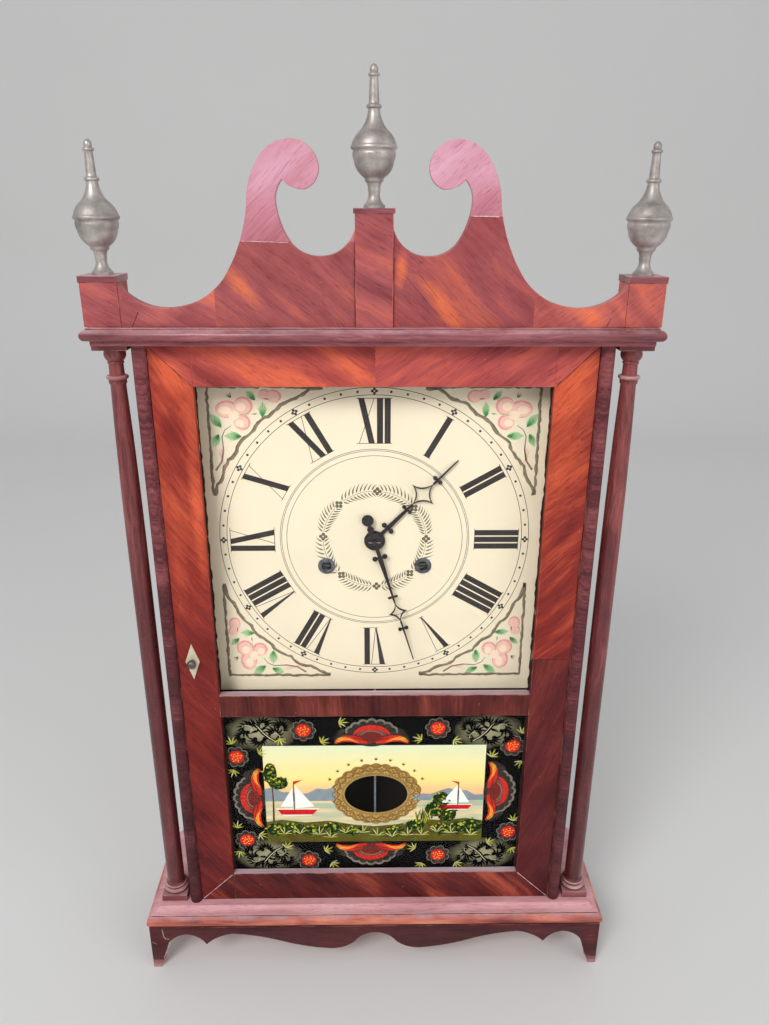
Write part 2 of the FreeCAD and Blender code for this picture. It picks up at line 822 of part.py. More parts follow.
def make_door():
    stile_outline = [
        (door_half, case_front),
        (door_half, door_back),
        (opening_half + S.rabbet_width, door_back),
        (opening_half + S.rabbet_width, rabbet_y),
        (opening_half, rabbet_y),
        (opening_half, case_front),
    ]
    height = door_head - door_foot
    right_blank = sawn("RightStileBlank", "XY_Plane", stile_outline, height, (0, 0, door_foot))
    bore = S.hinge_pin_radius + S.running_fit
    bores = []
    for foot in (door_foot - PAST, door_head - S.hinge_pin_reach):
        bores.append(rod("HingeBore", bore, S.hinge_pin_reach + PAST, (hinge_x, hinge_y, foot)))
    subpart(cut("RightStile", right_blank, joined("HingeBores", bores)), "door_right_stile")
    left_outline = [(-as_size(x), y) for x, y in reversed(stile_outline)]
    left_blank = sawn("LeftStileBlank", "XY_Plane", left_outline, height, (0, 0, door_foot))
    stem_hole = rod(
        "StemHole",
        S.knob_stem_radius + S.running_fit,
        S.door_thick + 2 * PAST,
        (latch_x, case_front - PAST, latch_z),
        Vector(0, 1, 0),
    )
    subpart(cut("LeftStile", left_blank, stem_hole), "door_left_stile")

    rails = []
    for low, high, below, above in (
        (door_foot, tablet_low, False, True),
        (tablet_high, glass_low, True, True),
        (glass_high, door_head, True, False),
    ):
        rear_low = low + S.rabbet_width if below else low
        rear_high = high - S.rabbet_width if above else high
        face = board("RailFace", (-opening_half, case_front, low), (opening_half, rabbet_y, high))
        rear_half = opening_half + S.rabbet_width
        rear = board("RailRear", (-rear_half, rabbet_y, rear_low), (rear_half, door_back, rear_high))
        rails.append(joined("Rail", [face, rear]))
    subpart(group("Rails", rails), "door_rails")

    glass_half = opening_half + S.rabbet_width - S.glass_play
    lap = S.rabbet_width - S.glass_play
    panes = (("tablet_glass", tablet_low, tablet_high), ("dial_glass", glass_low, glass_high))
    for label, low, high in panes:
        corner = (-glass_half, rabbet_y, low - lap)
        far = (glass_half, rabbet_y + S.glass_thick, high + lap)
        subpart(board(label + "_pane", corner, far), label)

    half_wide = S.escutcheon_width / 2
    half_tall = S.escutcheon_height / 2
    diamond = [(half_wide, 0), (0, half_tall), (-half_wide, 0), (0, -half_tall)]
    blank = sawn("Diamond", "XZ_Plane", diamond, S.escutcheon_thick, (latch_x, case_front, latch_z))
    hole = rod(
        "DiamondHole",
        S.knob_stem_radius + S.running_fit,
        S.escutcheon_thick + 2 * PAST,
        (latch_x, case_front - S.escutcheon_thick - PAST, latch_z),
        Vector(0, 1, 0),
    )
    subpart(cut("Escutcheon", blank, hole), "door_escutcheon")


def make_knob():
    """The knob, its stem through the stile and the latch behind, all in one turning piece."""
    plate_front_y = case_front - S.escutcheon_thick
    gap = S.latch_gap
    profile = [
        (0, -S.knob_length - gap),
        (S.knob_radius * 0.45, -S.knob_length - gap),
        (S.knob_radius, -S.knob_length * 0.7, 0.5),
        (S.knob_radius * 0.85, -S.knob_length * 0.4),
        (S.knob_radius * 0.5, -S.knob_length * 0.25),
        (S.knob_radius * 0.6, -gap),
        (S.knob_stem_radius, -gap),
        (S.knob_stem_radius, S.escutcheon_thick + S.door_thick + S.latch_thick + gap),
        (0, S.escutcheon_thick + S.door_thick + S.latch_thick + gap),
    ]
    knob = turned("KnobTurning", "XY_Plane", profile, (latch_x, plate_front_y, latch_z))
    half = S.latch_width / 2
    low = (latch_x - half, door_back + gap, latch_z - half)
    high = (latch_x + half, door_back + gap + S.latch_thick, latch_z + S.latch_length)
    subpart(joined("Knob", [knob, board("Latch", low, high)]), "door_knob")


def make_hinge_pins():
    pins = []
    reach = S.hinge_pin_reach - PAST
    low_foot = base_top - S.hinge_pin_grip
    pins.append(hinge_socket("LowPin", low_foot, S.hinge_pin_grip + S.door_foot_gap + reach))
    high_foot = door_head - reach
    pins.append(hinge_socket("HighPin", high_foot, case_top + S.hinge_pin_grip - high_foot))
    subpart(group("HingePins", pins), "door_hinge_pins")


def make_dial():
    half = case_inner - S.dial_play
    blank = board("DialBlank", (-half, dial_front, dial_foot), (half, dial_back, dial_head))
    forwards = Vector(0, 1, 0)
    start = dial_front - PAST
    length = S.dial_thick + 2 * PAST
    barrel_radius = S.grommet_radius - S.grommet_rim
    holes = [rod("CentreHole", S.dial_hole_radius, length, (0, start, centre_z), forwards)]
    grommets = []
    for sign in (-1, 1):
        x = sign * S.winding_place
        holes.append(rod("WindingHole", barrel_radius, length, (x, start, winding_z), forwards))
        lip_y = dial_front - S.grommet_flange
        lip = rod("Lip", S.grommet_radius, S.grommet_flange, (x, lip_y, winding_z), forwards)
        barrel = rod("Barrel", barrel_radius, S.dial_thick, (x, dial_front, winding_z), forwards)
        bore_length = length + S.grommet_flange
        bore = rod("Bore", S.grommet_hole_radius, bore_length, (x, lip_y - PAST, winding_z), forwards)
        grommets.append(cut("Grommet", joined("GrommetBlank", [lip, barrel]), bore))
    subpart(cut("Dial", blank, joined("DialHoles", holes)), "dial_board")
    subpart(group("Grommets", grommets), "winding_grommets")


def towards(origin, distance, lean):
    """A point (x, z) at a distance from another, leaning clockwise from upright as seen from the front."""
    angle = math.radians(lean)
    return (origin[0] + distance * math.sin(angle), origin[1] + distance * math.cos(angle))


def lean_of(origin, target):
    return math.degrees(math.atan2(target[0] - origin[0], target[1] - origin[1]))


train_module = float(S.train_module)
great_module = 2 * great_distance / (GREAT_TEETH + CENTRE_PINION_LEAVES)
centre_place = (0.0, float(centre_z))
time_place = (float(S.winding_place), float(winding_z))
strike_place = (-float(S.winding_place), float(winding_z))
escape_place = (0.0, float(centre_z + S.escape_rise))
centre_to_third = train_module * (CENTRE_TEETH + THIRD_PINION_LEAVES) / 2
third_to_escape = train_module * (THIRD_TEETH + ESCAPE_PINION_LEAVES) / 2
escape_rise = float(S.escape_rise)
third_up = (centre_to_third ** 2 - third_to_escape ** 2 + escape_rise ** 2) / (2 * escape_rise)
third_place = (math.sqrt(centre_to_third ** 2 - third_up ** 2), centre_place[1] + third_up)
pin_place = towards(strike_place, great_distance, -float(S.pin_wheel_lean))
pin_to_fly = train_module * (PIN_WHEEL_TEETH + FLY_PINION_LEAVES) / 2
fly_place = towards(pin_place, pin_to_fly, float(S.fly_lean))
count_module = float(S.count_module)
pin_to_count = count_module * (COUNT_TEETH + COUNT_PINION_LEAVES) / 2
count_place = towards(pin_place, pin_to_count, float(S.count_lean))
hammer_place = (pin_place[0] - float(S.hammer_aside), pin_place[1] + float(S.hammer_up))
minute_aside = train_module * (CANNON_LEAVES + MINUTE_TEETH) / 2
motion_module = 2 * minute_aside / (HOUR_TEETH + MINUTE_PINION_LEAVES)
minute_place = (minute_aside, centre_place[1])
suspension_z = centre_z + S.escape_rise - S.verge_drop
suspension_place = (0.0, float(suspension_z))

# Depths from the front: the motion work and escapement stand before the front plate, the rest behind it
hour_wheel_y = float(dial_back + S.hour_wheel_gap)
motion_y = float(dial_back + S.minute_wheel_gap)
escape_y = float(plate_front - S.escape_gap)
pendulum_y = float(plate_front - S.pendulum_gap)
inner_y = float(plate_inner)
rear_y = float(back_plate_front)
shank_end_y = rear_y - float(S.end_play)
back_y = float(back_plate_back)
strike_great_y = float(plate_inner + S.great_wheel_gap)
time_great_y = float(back_plate_front - S.great_wheel_gap - S.great_wheel_thick)
third_wheel_y = float(plate_inner + S.third_wheel_gap)
centre_wheel_y = float(plate_inner + S.centre_wheel_gap)
pin_wheel_y = float(plate_inner + S.pin_wheel_gap)
hammer_y = float(plate_inner + S.hammer_depth)
wheel_thick = float(S.wheel_thick)
great_thick = float(S.great_wheel_thick)
light_thick = float(S.light_wheel_thick)
pinion_lap = float(S.pinion_lap)
hour_hand_y = float(dial_front - S.hand_gap - S.hand_thick)
minute_hand_y = hour_hand_y - float(S.hand_gap + S.hand_thick)


def plate_holes(start, length, holes):
    rods = []
    for (x, z), radius in holes:
        rods.append(rod("PlateHole", radius, length, (x, start, z), Vector(0, 1, 0)))
    return joined("PlateHoles", rods)


def make_plates():
    foot = centre_z - S.plate_rise
    head = centre_z + S.plate_drop
    half = S.plate_half_width
    pivot = S.pivot_radius + S.running_fit
    pivots = [third_place, escape_place, pin_place, fly_place, hammer_place]
    front_holes = [(centre_place, S.arbor_radius + S.running_fit)]
    front_holes += [(spot, S.winding_arbor_radius + S.running_fit) for spot in (time_place, strike_place)]
    front_holes += [(spot, pivot) for spot in pivots]
    front_holes += [(minute_place, S.pivot_radius), (count_place, S.arbor_radius)]
    front_holes += [(suspension_place, S.suspension_pin_radius)]
    blank = board("FrontPlateBlank", (-half, plate_front, foot), (half, plate_inner, head))
    holes = plate_holes(plate_front - PAST, S.plate_thick + 2 * PAST, front_holes)
    subpart(cut("FrontPlate", blank, holes), "movement_front_plate")
    blank = board("BackPlateBlank", (-half, back_plate_front, foot), (half, back_plate_back, head))
    spots = pivots + [centre_place, time_place, strike_place]
    back_holes = [(spot, pivot) for spot in spots]
    holes = plate_holes(back_plate_front - PAST, S.plate_thick + 2 * PAST, back_holes)
    subpart(cut("BackPlate", blank, holes), "movement_back_plate")

    pillars = []
    for sign in (-1, 1):
        for z in (centre_z + S.pillar_rise, centre_z - S.pillar_drop):
            spot = (sign * S.pillar_place, plate_inner, z)
            pillars.append(rod("Pillar", S.pillar_radius, S.plate_room, spot, Vector(0, 1, 0)))
    subpart(group("Pillars", pillars), "movement_pillars")

    rails = []
    for sign in (-1, 1):
        edges = sorted((sign * (half - S.rail_inset), sign * (half - S.rail_inset - S.rail_width)), key=float)
        low = (edges[0], back_plate_back, foot - S.rail_width)
        rails.append(board("Rail", low, (edges[1], backboard_front, head + S.rail_width)))
        edges = sorted((sign * case_inner, sign * (case_inner - S.cleat_width)), key=float)
        low = (edges[0], dial_back, dial_foot)
        high = (edges[1], dial_back + S.cleat_thick, dial_head)
        rails.append(board("Cleat", low, high))
    subpart(group("MountingRails", rails), "mounting_rails")

    studs = []
    for name, spot, radius, nose in (
        ("MinuteStud", minute_place, S.pivot_radius, dial_back + S.hour_wheel_gap / 2),
        ("CountStud", count_place, S.arbor_radius, plate_front - S.escape_gap - PAST),
        ("SuspensionPin", suspension_place, S.suspension_pin_radius, plate_front - S.escape_gap - PAST),
    ):
        studs.append(rod(name, radius, plate_inner - nose, (spot[0], nose, spot[1]), Vector(0, 1, 0)))
    subpart(group("Studs", studs), "movement_studs")


WHEEL_TOOTH = {"tip": 0.95, "root": 1.2, "share": 0.34, "tip_share": 0.12}
LEAF = {"tip": 0.45, "root": 1.35, "share": 0.30, "tip_share": 0.16}


def toothed(teeth, module, form, lean, y, thick):
    """A toothed disc about the upright way through the dial, with one tooth leaning at the given angle."""
    pitch_radius = module * teeth / 2
    tip = pitch_radius + form["tip"] * module
    root = pitch_radius - form["root"] * module
    pitch = 2 * math.pi / teeth
    half = form["share"] / 2
    half_tip = form["tip_share"] / 2
    corners = []
    for tooth in range(teeth):
        middle = math.radians(lean) + tooth * pitch
        for radius, share in (
            (root, -half * 1.15),
            (pitch_radius, -half),
            (tip, -half_tip),
            (tip, half_tip),
            (pitch_radius, half),
            (root, half * 1.15),
        ):
            angle = middle + share * pitch
            corners.append(Vector(radius * math.sin(angle), y, radius * math.cos(angle)))
    corners.append(corners[0])
    face = Part.Face(Part.makePolygon(corners))
    return face.extrude(Vector(0, thick, 0))


def wheel(teeth, module, lean, y, thick):
    return toothed(teeth, module, WHEEL_TOOTH, lean, y, thick)


def pinion(leaves, module, lean, y, thick):
    """A pinion with a gap, not a leaf, at the given lean."""
    return toothed(leaves, module, LEAF, lean + 180.0 / leaves, y, thick)


def lapped(leaves, module, lean, wheel_y, thick):
    """A pinion that stands a little past both faces of the wheel that it meets."""
    return pinion(leaves, module, lean, wheel_y - pinion_lap, thick + 2 * pinion_lap)


def axle(radius, start, finish):
    return Part.makeCylinder(float(radius), finish - start, Vector(0, start, 0), Vector(0, 1, 0))


def bored(shape, radius):
    """A running hole right through a wheel, along its axis."""
    box = shape.BoundBox
    return shape.cut(axle(radius + S.running_fit, box.YMin - PAST, box.YMax + PAST))


def arbor(start=None):
    """A wheel arbor between the plates with its two pivots; start gives a longer front pivot."""
    front_end = float(plate_front) if start is None else start
    shank = axle(S.arbor_radius, inner_y + float(S.end_play), shank_end_y)
    return shank.fuse(axle(S.pivot_radius, front_end, back_y))


def fused(shapes):
    return shapes[0].multiFuse(shapes[1:]).removeSplitter()


def arbor_piece(name, label, shapes, spot):
    subpart(shape_piece(name, fused(shapes), spot[0], 0.0, spot[1]), label)


def make_time_train():
    to_centre = lean_of(time_place, centre_place)
    blank = wheel(GREAT_TEETH, great_module, to_centre, time_great_y, great_thick)
    great = bored(blank, S.winding_arbor_radius)
    subpart(shape_piece("TimeGreat", great, time_place[0], 0.0, time_place[1]), "time_great_wheel")
    drum_start = float(plate_inner + S.drum_front_gap)
    make_drum("TimeDrum", "time_drum", time_place, drum_start, time_great_y - float(S.drum_gap))

    centre_shapes = [
        axle(S.arbor_radius, minute_hand_y - float(S.arbor_nose), shank_end_y),
        axle(S.pivot_radius, shank_end_y - PAST, back_y),
        lapped(CENTRE_PINION_LEAVES, great_module, to_centre + 180.0, time_great_y, great_thick),
        wheel(CENTRE_TEETH, train_module, lean_of(centre_place, third_place), centre_wheel_y, wheel_thick),
        pinion(CANNON_LEAVES, train_module, lean_of(centre_place, minute_place), motion_y, light_thick),
    ]
    arbor_piece("CentreWheel", "centre_wheel", centre_shapes, centre_place)

    third_shapes = [
        arbor(),
        lapped(
            THIRD_PINION_LEAVES,
            train_module,
            lean_of(third_place, centre_place),
            centre_wheel_y,
            wheel_thick,
        ),
        wheel(THIRD_TEETH, train_module, lean_of(third_place, escape_place), third_wheel_y, wheel_thick),
    ]
    arbor_piece("ThirdWheel", "third_wheel", third_shapes, third_place)

    escape_shapes = [
        arbor(start=escape_y),
        lapped(
            ESCAPE_PINION_LEAVES,
            train_module,
            lean_of(escape_place, third_place),
            third_wheel_y,
            wheel_thick,
        ),
        escape_disc(),
        axle(S.arbor_radius, escape_y, escape_y + light_thick),
    ]
    arbor_piece("EscapeWheel", "escape_wheel", escape_shapes, escape_place)


def escape_disc():
    """Thin pointed teeth that lean the way the wheel turns."""
    radius = float(S.escape_radius)
    root = radius - float(S.escape_tooth)
    pitch = 2 * math.pi / ESCAPE_TEETH
    corners = []
    for tooth in range(ESCAPE_TEETH):
        start = tooth * pitch
        for reach, share in ((root, 0.0), (radius, 0.42), (radius, 0.52), (root, 0.6)):
            angle = start + share * pitch
            corners.append(Vector(reach * math.sin(angle), escape_y, reach * math.cos(angle)))
    corners.append(corners[0])
    return Part.Face(Part.makePolygon(corners)).extrude(Vector(0, light_thick, 0))


def make_drum(name, label, spot, start, finish):
    """A cord drum between two flanges on its winding arbor; the great wheel rides on the same arbor."""
    flange = float(S.drum_flange_thick)
    shapes = [
        axle(S.drum_radius, start, finish),
        axle(S.drum_flange_radius, start, start + flange),
        axle(S.drum_flange_radius, finish - flange, finish),
        axle(S.winding_arbor_radius, float(dial_front + S.grommet_flange), shank_end_y),
        axle(S.pivot_radius, shank_end_y - PAST, back_y),
    ]
    arbor_piece(name, label, shapes, spot)


def make_strike_train():
    to_pin = lean_of(strike_place, pin_place)
    blank = wheel(GREAT_TEETH, great_module, to_pin, strike_great_y, great_thick)
    great = bored(blank, S.winding_arbor_radius)
    subpart(shape_piece("StrikeGreat", great, strike_place[0], 0.0, strike_place[1]), "strike_great_wheel")
    drum_start = strike_great_y + great_thick + float(S.drum_gap)
    make_drum("StrikeDrum", "strike_drum", strike_place, drum_start, rear_y - float(S.drum_front_gap))

    pin_shapes = [
        arbor(start=escape_y),
        lapped(PIN_PINION_LEAVES, great_module, to_pin + 180.0, strike_great_y, great_thick),
        wheel(PIN_WHEEL_TEETH, train_module, lean_of(pin_place, fly_place), pin_wheel_y, wheel_thick),
        pinion(COUNT_PINION_LEAVES, count_module, lean_of(pin_place, count_place), escape_y, light_thick),
    ]
    pin_length = float(S.lifting_pin_length)
    for index in range(LIFTING_PINS):
        x, z = towards((0.0, 0.0), float(S.pin_circle_radius), index * 360.0 / LIFTING_PINS)
        start = Vector(x, pin_wheel_y - pin_length, z)
        length = pin_length + wheel_thick / 2
        pin_shapes.append(Part.makeCylinder(float(S.lifting_pin_radius), length, start, Vector(0, 1, 0)))
    arbor_piece("PinWheel", "strike_pin_wheel", pin_shapes, pin_place)

    count_lean = lean_of(count_place, pin_place)
    count = bored(wheel(COUNT_TEETH, count_module, count_lean, escape_y, light_thick), S.arbor_radius)
    subpart(shape_piece("CountWheel", count, count_place[0], 0.0, count_place[1]), "count_wheel")

    vane_half = float(S.fly_radius)
    vane_thick = float(S.fly_thick)
    vane_start = Vector(-vane_half, strike_great_y, -vane_thick / 2)
    fly_shapes = [
        arbor(),
        lapped(FLY_PINION_LEAVES, train_module, lean_of(fly_place, pin_place), pin_wheel_y, wheel_thick),
        Part.makeBox(vane_half * 2, float(S.fly_depth), vane_thick, vane_start),
    ]
    arbor_piece("Fly", "fly", fly_shapes, fly_place)

    make_hammer()


def bar_between(first, second, radius):
    way = second - first
    return Part.makeCylinder(float(radius), way.Length, first, way)


def make_hammer():
    """The hammer swings up to the rim of the bell; its tail hangs by the lifting pins."""
    head_right = -float(S.bell_place) - float(S.bell_radius) - float(S.hammer_gap) - hammer_place[0]
    head_left = head_right - float(S.hammer_head_length)
    head_z = float(centre_z + S.bell_rise + S.hammer_head_rise) - hammer_place[1]
    head_start = Vector(head_left, hammer_y, head_z)
    head = Part.makeCylinder(float(S.hammer_head_radius), head_right - head_left, head_start, Vector(1, 0, 0))
    tail_x, tail_z = towards((0.0, 0.0), float(S.hammer_tail), lean_of(hammer_place, pin_place))
    wire = float(S.wire_radius)
    hub_finish = pin_wheel_y - pinion_lap
    tail_y = hub_finish - 2 * wire
    middle = Vector((head_left + head_right) / 2, hammer_y, head_z)
    shapes = [
        arbor(),
        axle(S.arbor_radius + S.pinion_lap, hammer_y - 2 * wire, hub_finish),
        bar_between(Vector(0, hammer_y, 0), middle, wire),
        bar_between(Vector(0, tail_y, 0), Vector(tail_x, tail_y, tail_z), wire),
        head,
    ]
    arbor_piece("Hammer", "hammer", shapes, hammer_place)


def make_bell():
    middle = (-S.bell_place, hammer_y, centre_z + S.bell_rise)
    outer = doc.addObject("Part::Sphere", "BellOuter")
    inner = doc.addObject("Part::Sphere", "BellInner")
    bind(outer, "Radius", S.bell_radius)
    bind(inner, "Radius", S.bell_radius - S.bell_wall)
    outer.Angle1 = 0
    for ball in (outer, inner):
        place(ball, middle[0], middle[1], middle[2])
    top = middle[2] + S.bell_radius
    post_foot = top - S.bell_wall * 2
    hole = rod("BellHole", S.bell_stand_radius, S.bell_wall * 4, (middle[0], middle[1], post_foot))
    subpart(cut("Bell", outer, joined("BellHollow", [inner, hole])), "bell")

    arm_z = top + S.bell_stand_radius * 2
    post = rod("BellPost", S.bell_stand_radius, arm_z - post_foot, (middle[0], middle[1], post_foot))
    arm_length = backboard_front - middle[1]
    arm = rod("BellArm", S.bell_stand_radius, arm_length, (middle[0], middle[1], arm_z), Vector(0, 1, 0))
    foot_spot = (middle[0], backboard_front - S.bell_stand_radius, arm_z)
    foot = rod("BellFoot", S.bell_stand_radius * 3, S.bell_stand_radius, foot_spot, Vector(0, 1, 0))
    elbow = doc.addObject("Part::Sphere", "BellElbow")
    bind(elbow, "Radius", S.bell_stand_radius)
    place(elbow, middle[0], middle[1], arm_z)
    subpart(joined("BellStand", [post, arm, foot, elbow]), "bell_stand")


def make_escapement():
    """The anchor swings on the suspension pin under the escape wheel; its wire leads the pendulum rod."""
    rise = float(S.verge_drop)
    inner = float(S.escape_radius + S.verge_gap)
    outer = inner + float(S.verge_width)
    wheel_middle = Vector(0, escape_y, rise)
    ring = Part.makeCylinder(outer, light_thick, wheel_middle, Vector(0, 1, 0))
    ring = ring.cut(Part.makeCylinder(inner, light_thick, wheel_middle, Vector(0, 1, 0)))
    reach = 2 * outer
    spread = math.radians(float(S.verge_spread))
    corners = [
        wheel_middle,
        wheel_middle + Vector(-reach * math.sin(spread), 0, -reach * math.cos(spread)),
        wheel_middle + Vector(reach * math.sin(spread), 0, -reach * math.cos(spread)),
        wheel_middle,
    ]
    wedge = Part.Face(Part.makePolygon(corners)).extrude(Vector(0, light_thick, 0))
    hub_radius = float(S.suspension_pin_radius + S.eye_wall)
    wire = float(S.crutch_wire_radius)
    wire_y = escape_y + light_thick / 2
    foot_z = -float(S.crutch_drop)
    prong = float(S.pendulum_rod_radius + S.crutch_play) + wire
    prong_end = pendulum_y + float(S.pendulum_rod_radius + S.crutch_play)
    shapes = [
        ring.common(wedge),
        axle(hub_radius, escape_y, escape_y + light_thick),
        bar_between(Vector(0, wire_y, -hub_radius + wire), Vector(0, wire_y, foot_z), wire),
        bar_between(Vector(-prong, wire_y, foot_z), Vector(prong, wire_y, foot_z), wire),
    ]
    for sign in (-1, 1):
        start = Vector(sign * prong, wire_y, foot_z)
        shapes.append(bar_between(start, Vector(sign * prong, prong_end, foot_z), wire))
        shapes.append(Part.makeSphere(wire, start))
    verge = bored(fused(shapes), S.suspension_pin_radius)
    subpart(shape_piece("Verge", verge, 0.0, 0.0, suspension_place[1]), "verge")


def make_pendulum():
    """A wire rod with an eye at its head, a loop round the centre arbor, a brass-faced bob and its nut."""
    rod_radius = float(S.pendulum_rod_radius)
    loop = float(S.pendulum_loop_radius)
    loop_z = -float(S.escape_rise - S.verge_drop)
    bob_z = -float(S.pendulum_length)
    bob_radius = float(S.bob_radius)
    crown_radius = float(S.bob_crown_radius)
    eye_radius = float(S.suspension_pin_radius + S.eye_wall)
    eye_half = float(S.eye_half_thick)
    middle_y = pendulum_y
    edge = float(S.bob_edge)
    crown = (float(S.bob_thick) - edge) / 2
    bob = Part.makeCylinder(bob_radius, edge, Vector(0, middle_y - edge / 2, bob_z), Vector(0, 1, 0))
    for sign in (-1, 1):
        foot = Vector(0, middle_y + sign * edge / 2, bob_z)
        bob = bob.fuse(Part.makeCone(bob_radius, crown_radius, crown, foot, Vector(0, sign, 0)))
    ring = Part.makeTorus(loop, rod_radius, Vector(0, middle_y, loop_z), Vector(0, 1, 0))
    nut_radius = float(S.nut_radius)
    nut_z = bob_z - bob_radius - float(S.nut_gap)
    rod_head = Vector(0, middle_y, -eye_radius + rod_radius / 2)
    rod_foot = Vector(0, middle_y, nut_z - 2 * rod_radius)
    shapes = [
        axle(eye_radius, middle_y - eye_half, middle_y + eye_half),
        bar_between(rod_head, Vector(0, middle_y, loop_z + loop), rod_radius),
        ring,
        bar_between(Vector(0, middle_y, loop_z - loop), rod_foot, rod_radius),
        bob,
        Part.makeCylinder(nut_radius, nut_radius, Vector(0, middle_y, nut_z)),
    ]
    bore = axle(S.suspension_pin_radius + S.running_fit, middle_y - 2 * eye_half, middle_y + 2 * eye_half)
    pendulum = fused(shapes).cut(bore)
    subpart(shape_piece("Pendulum", pendulum, 0.0, 0.0, suspension_place[1]), "pendulum")


def make_motion_work():
    to_centre = lean_of(minute_place, centre_place)
    hour_thick = motion_y - hour_wheel_y - float(S.hour_wheel_gap)
    minute = fused([
        wheel(MINUTE_TEETH, train_module, to_centre, motion_y, light_thick),
        pinion(MINUTE_PINION_LEAVES, motion_module, to_centre, hour_wheel_y, motion_y - hour_wheel_y),
    ])
    minute = bored(minute, S.pivot_radius)
    subpart(shape_piece("MinuteWheel", minute, minute_place[0], 0.0, minute_place[1]), "minute_wheel")

    hour = bored(
        fused([
            wheel(HOUR_TEETH, motion_module, lean_of(centre_place, minute_place), hour_wheel_y, hour_thick),
            axle(S.hour_pipe_radius, hour_hand_y, hour_wheel_y + hour_thick),
        ]),
        S.arbor_radius,
    )
    subpart(shape_piece("HourWheel", hour, 0.0, 0.0, centre_place[1]), "hour_wheel")


def flat(points, thick):
    """A thin upright plate, its front at y = 0, from (x, z) corners."""
    corners = [Vector(x, 0, z) for x, z in points]
    corners.append(corners[0])
    return Part.Face(Part.makePolygon(corners)).extrude(Vector(0, thick, 0))


def disc(radius, z, thick):
    return Part.makeCylinder(radius, thick, Vector(0, 0, z), Vector(0, 1, 0))


def lozenge(half, low, high, dent, thick):
    """A four-pointed plate whose sides bend inwards."""
    middle = (low + high) / 2
    corners = [(half, middle), (0, high), (-half, middle), (0, low)]
    edges = []
    for index, (x, z) in enumerate(corners):
        other_x, other_z = corners[index - 1]
        way = Vector(x - other_x, 0, z - other_z)
        inwards = Vector(-way.z, 0, way.x).normalize()
        half_way = Vector((x + other_x) / 2, 0, (z + other_z) / 2) + inwards * dent
        edges.append(Part.Arc(Vector(other_x, 0, other_z), half_way, Vector(x, 0, z)).toShape())
    return Part.Face(Part.Wire(edges)).extrude(Vector(0, thick, 0))


def knobbed_bar(half, ball, z, thick):
    """A short crossbar with a round knob on each end."""
    bar = flat([(half, z - 0.9), (half, z + 0.9), (-half, z + 0.9), (-half, z - 0.9)], thick)
    knobs = [Part.makeCylinder(ball, thick, Vector(sign * half, 0, z), Vector(0, 1, 0)) for sign in (-1, 1)]
    return fused([bar] + knobs)


def stem(low, half_low, high, half_high, thick):
    return flat([(half_low, low), (half_high, high), (-half_high, high), (-half_low, low)], thick)


def make_hands():
    thick = float(S.hand_thick)
    hub = float(S.hand_hub_radius)
    reach = float(S.hour_hand_length)
    wire = float(S.hand_wire)
    half = float(S.hour_lozenge_half)
    low = reach * 0.445
    high = reach * 0.725
    hour = fused([
        disc(hub, 0, thick),
        stem(hub - 1, 1.7, reach * 0.16, 1.2, thick),
        knobbed_bar(3.9, 2.1, reach * 0.16, thick),
        stem(reach * 0.16, 1.9, reach * 0.395, 1.2, thick),
        knobbed_bar(3.4, 1.6, reach * 0.395, thick),
        stem(reach * 0.395, 1.1, low + wire, 0.9, thick),
        lozenge(half, low, high, 3.2, thick).cut(
            lozenge(half - 2.2 * wire, low + 2.2 * wire, high - 2.2 * wire, 2.2, thick)
        ),
        stem(high - wire, 0.9, reach * 0.76, 0.9, thick),
        knobbed_bar(2.8, 1.8, reach * 0.76, thick),
        stem(reach * 0.76, 0.8, reach, 0.4, thick),
    ]).cut(disc(float(S.hour_pipe_radius), 0, thick))
    subpart(shape_piece("HourHand", hour, 0, hour_hand_y, centre_z, S.hour_hand_angle), "hour_hand")

    reach = float(S.minute_hand_length)
    half = float(S.minute_lozenge_half)
    low = reach * 0.5
    high = reach * 0.675
    minute = fused([
        disc(hub * 0.85, 0, thick),
        stem(-reach * 0.16, 1.0, -hub * 0.6, 1.8, thick),
        disc(2.8, -reach * 0.098, thick),
        disc(5.0, -reach * 0.168, thick),
        stem(hub * 0.6, 1.6, reach * 0.129, 1.6, thick),
        knobbed_bar(4.3, 2.2, reach * 0.129, thick),
        stem(reach * 0.129, 2.2, reach * 0.4, 0.9, thick),
        stem(reach * 0.4, 0.9, low + wire, 0.7, thick),
        knobbed_bar(3.6, 0.9, reach * 0.456, thick),
        lozenge(half, low, high, 2.0, thick).cut(
            lozenge(half - 2 * wire, low + 2 * wire, high - 2 * wire, 1.3, thick)
        ),
        stem(high - wire, 0.8, reach * 0.726, 0.7, thick),
        knobbed_bar(2.9, 1.7, reach * 0.726, thick),
        stem(reach * 0.726, 0.7, reach, 0.4, thick),
    ]).cut(disc(float(S.arbor_radius), 0, thick))
    piece = shape_piece("MinuteHand", minute, 0, minute_hand_y, centre_z, S.minute_hand_angle)
    subpart(piece, "minute_hand")


def make_weights():
    foot = base_top + S.weight_foot_gap
    eye = S.weight_eye_radius
    for label, sign in (("time_weight", 1), ("strike_weight", -1)):
        x = sign * S.weight_place
        body = rod(label + "_iron", S.weight_radius, S.weight_height, (x, weight_y, foot))
        ring = doc.addObject("Part::Torus", label + "_eye")
        ring.Placement.Rotation = Rotation(Vector(1, 0, 0), 90)
        bind(ring, "Radius1", eye)
        bind(ring, "Radius2", S.weight_eye_wire)
        place(ring, x, weight_y, foot + S.weight_height + eye)
        subpart(joined(label + "_joined", [body, ring]), label)


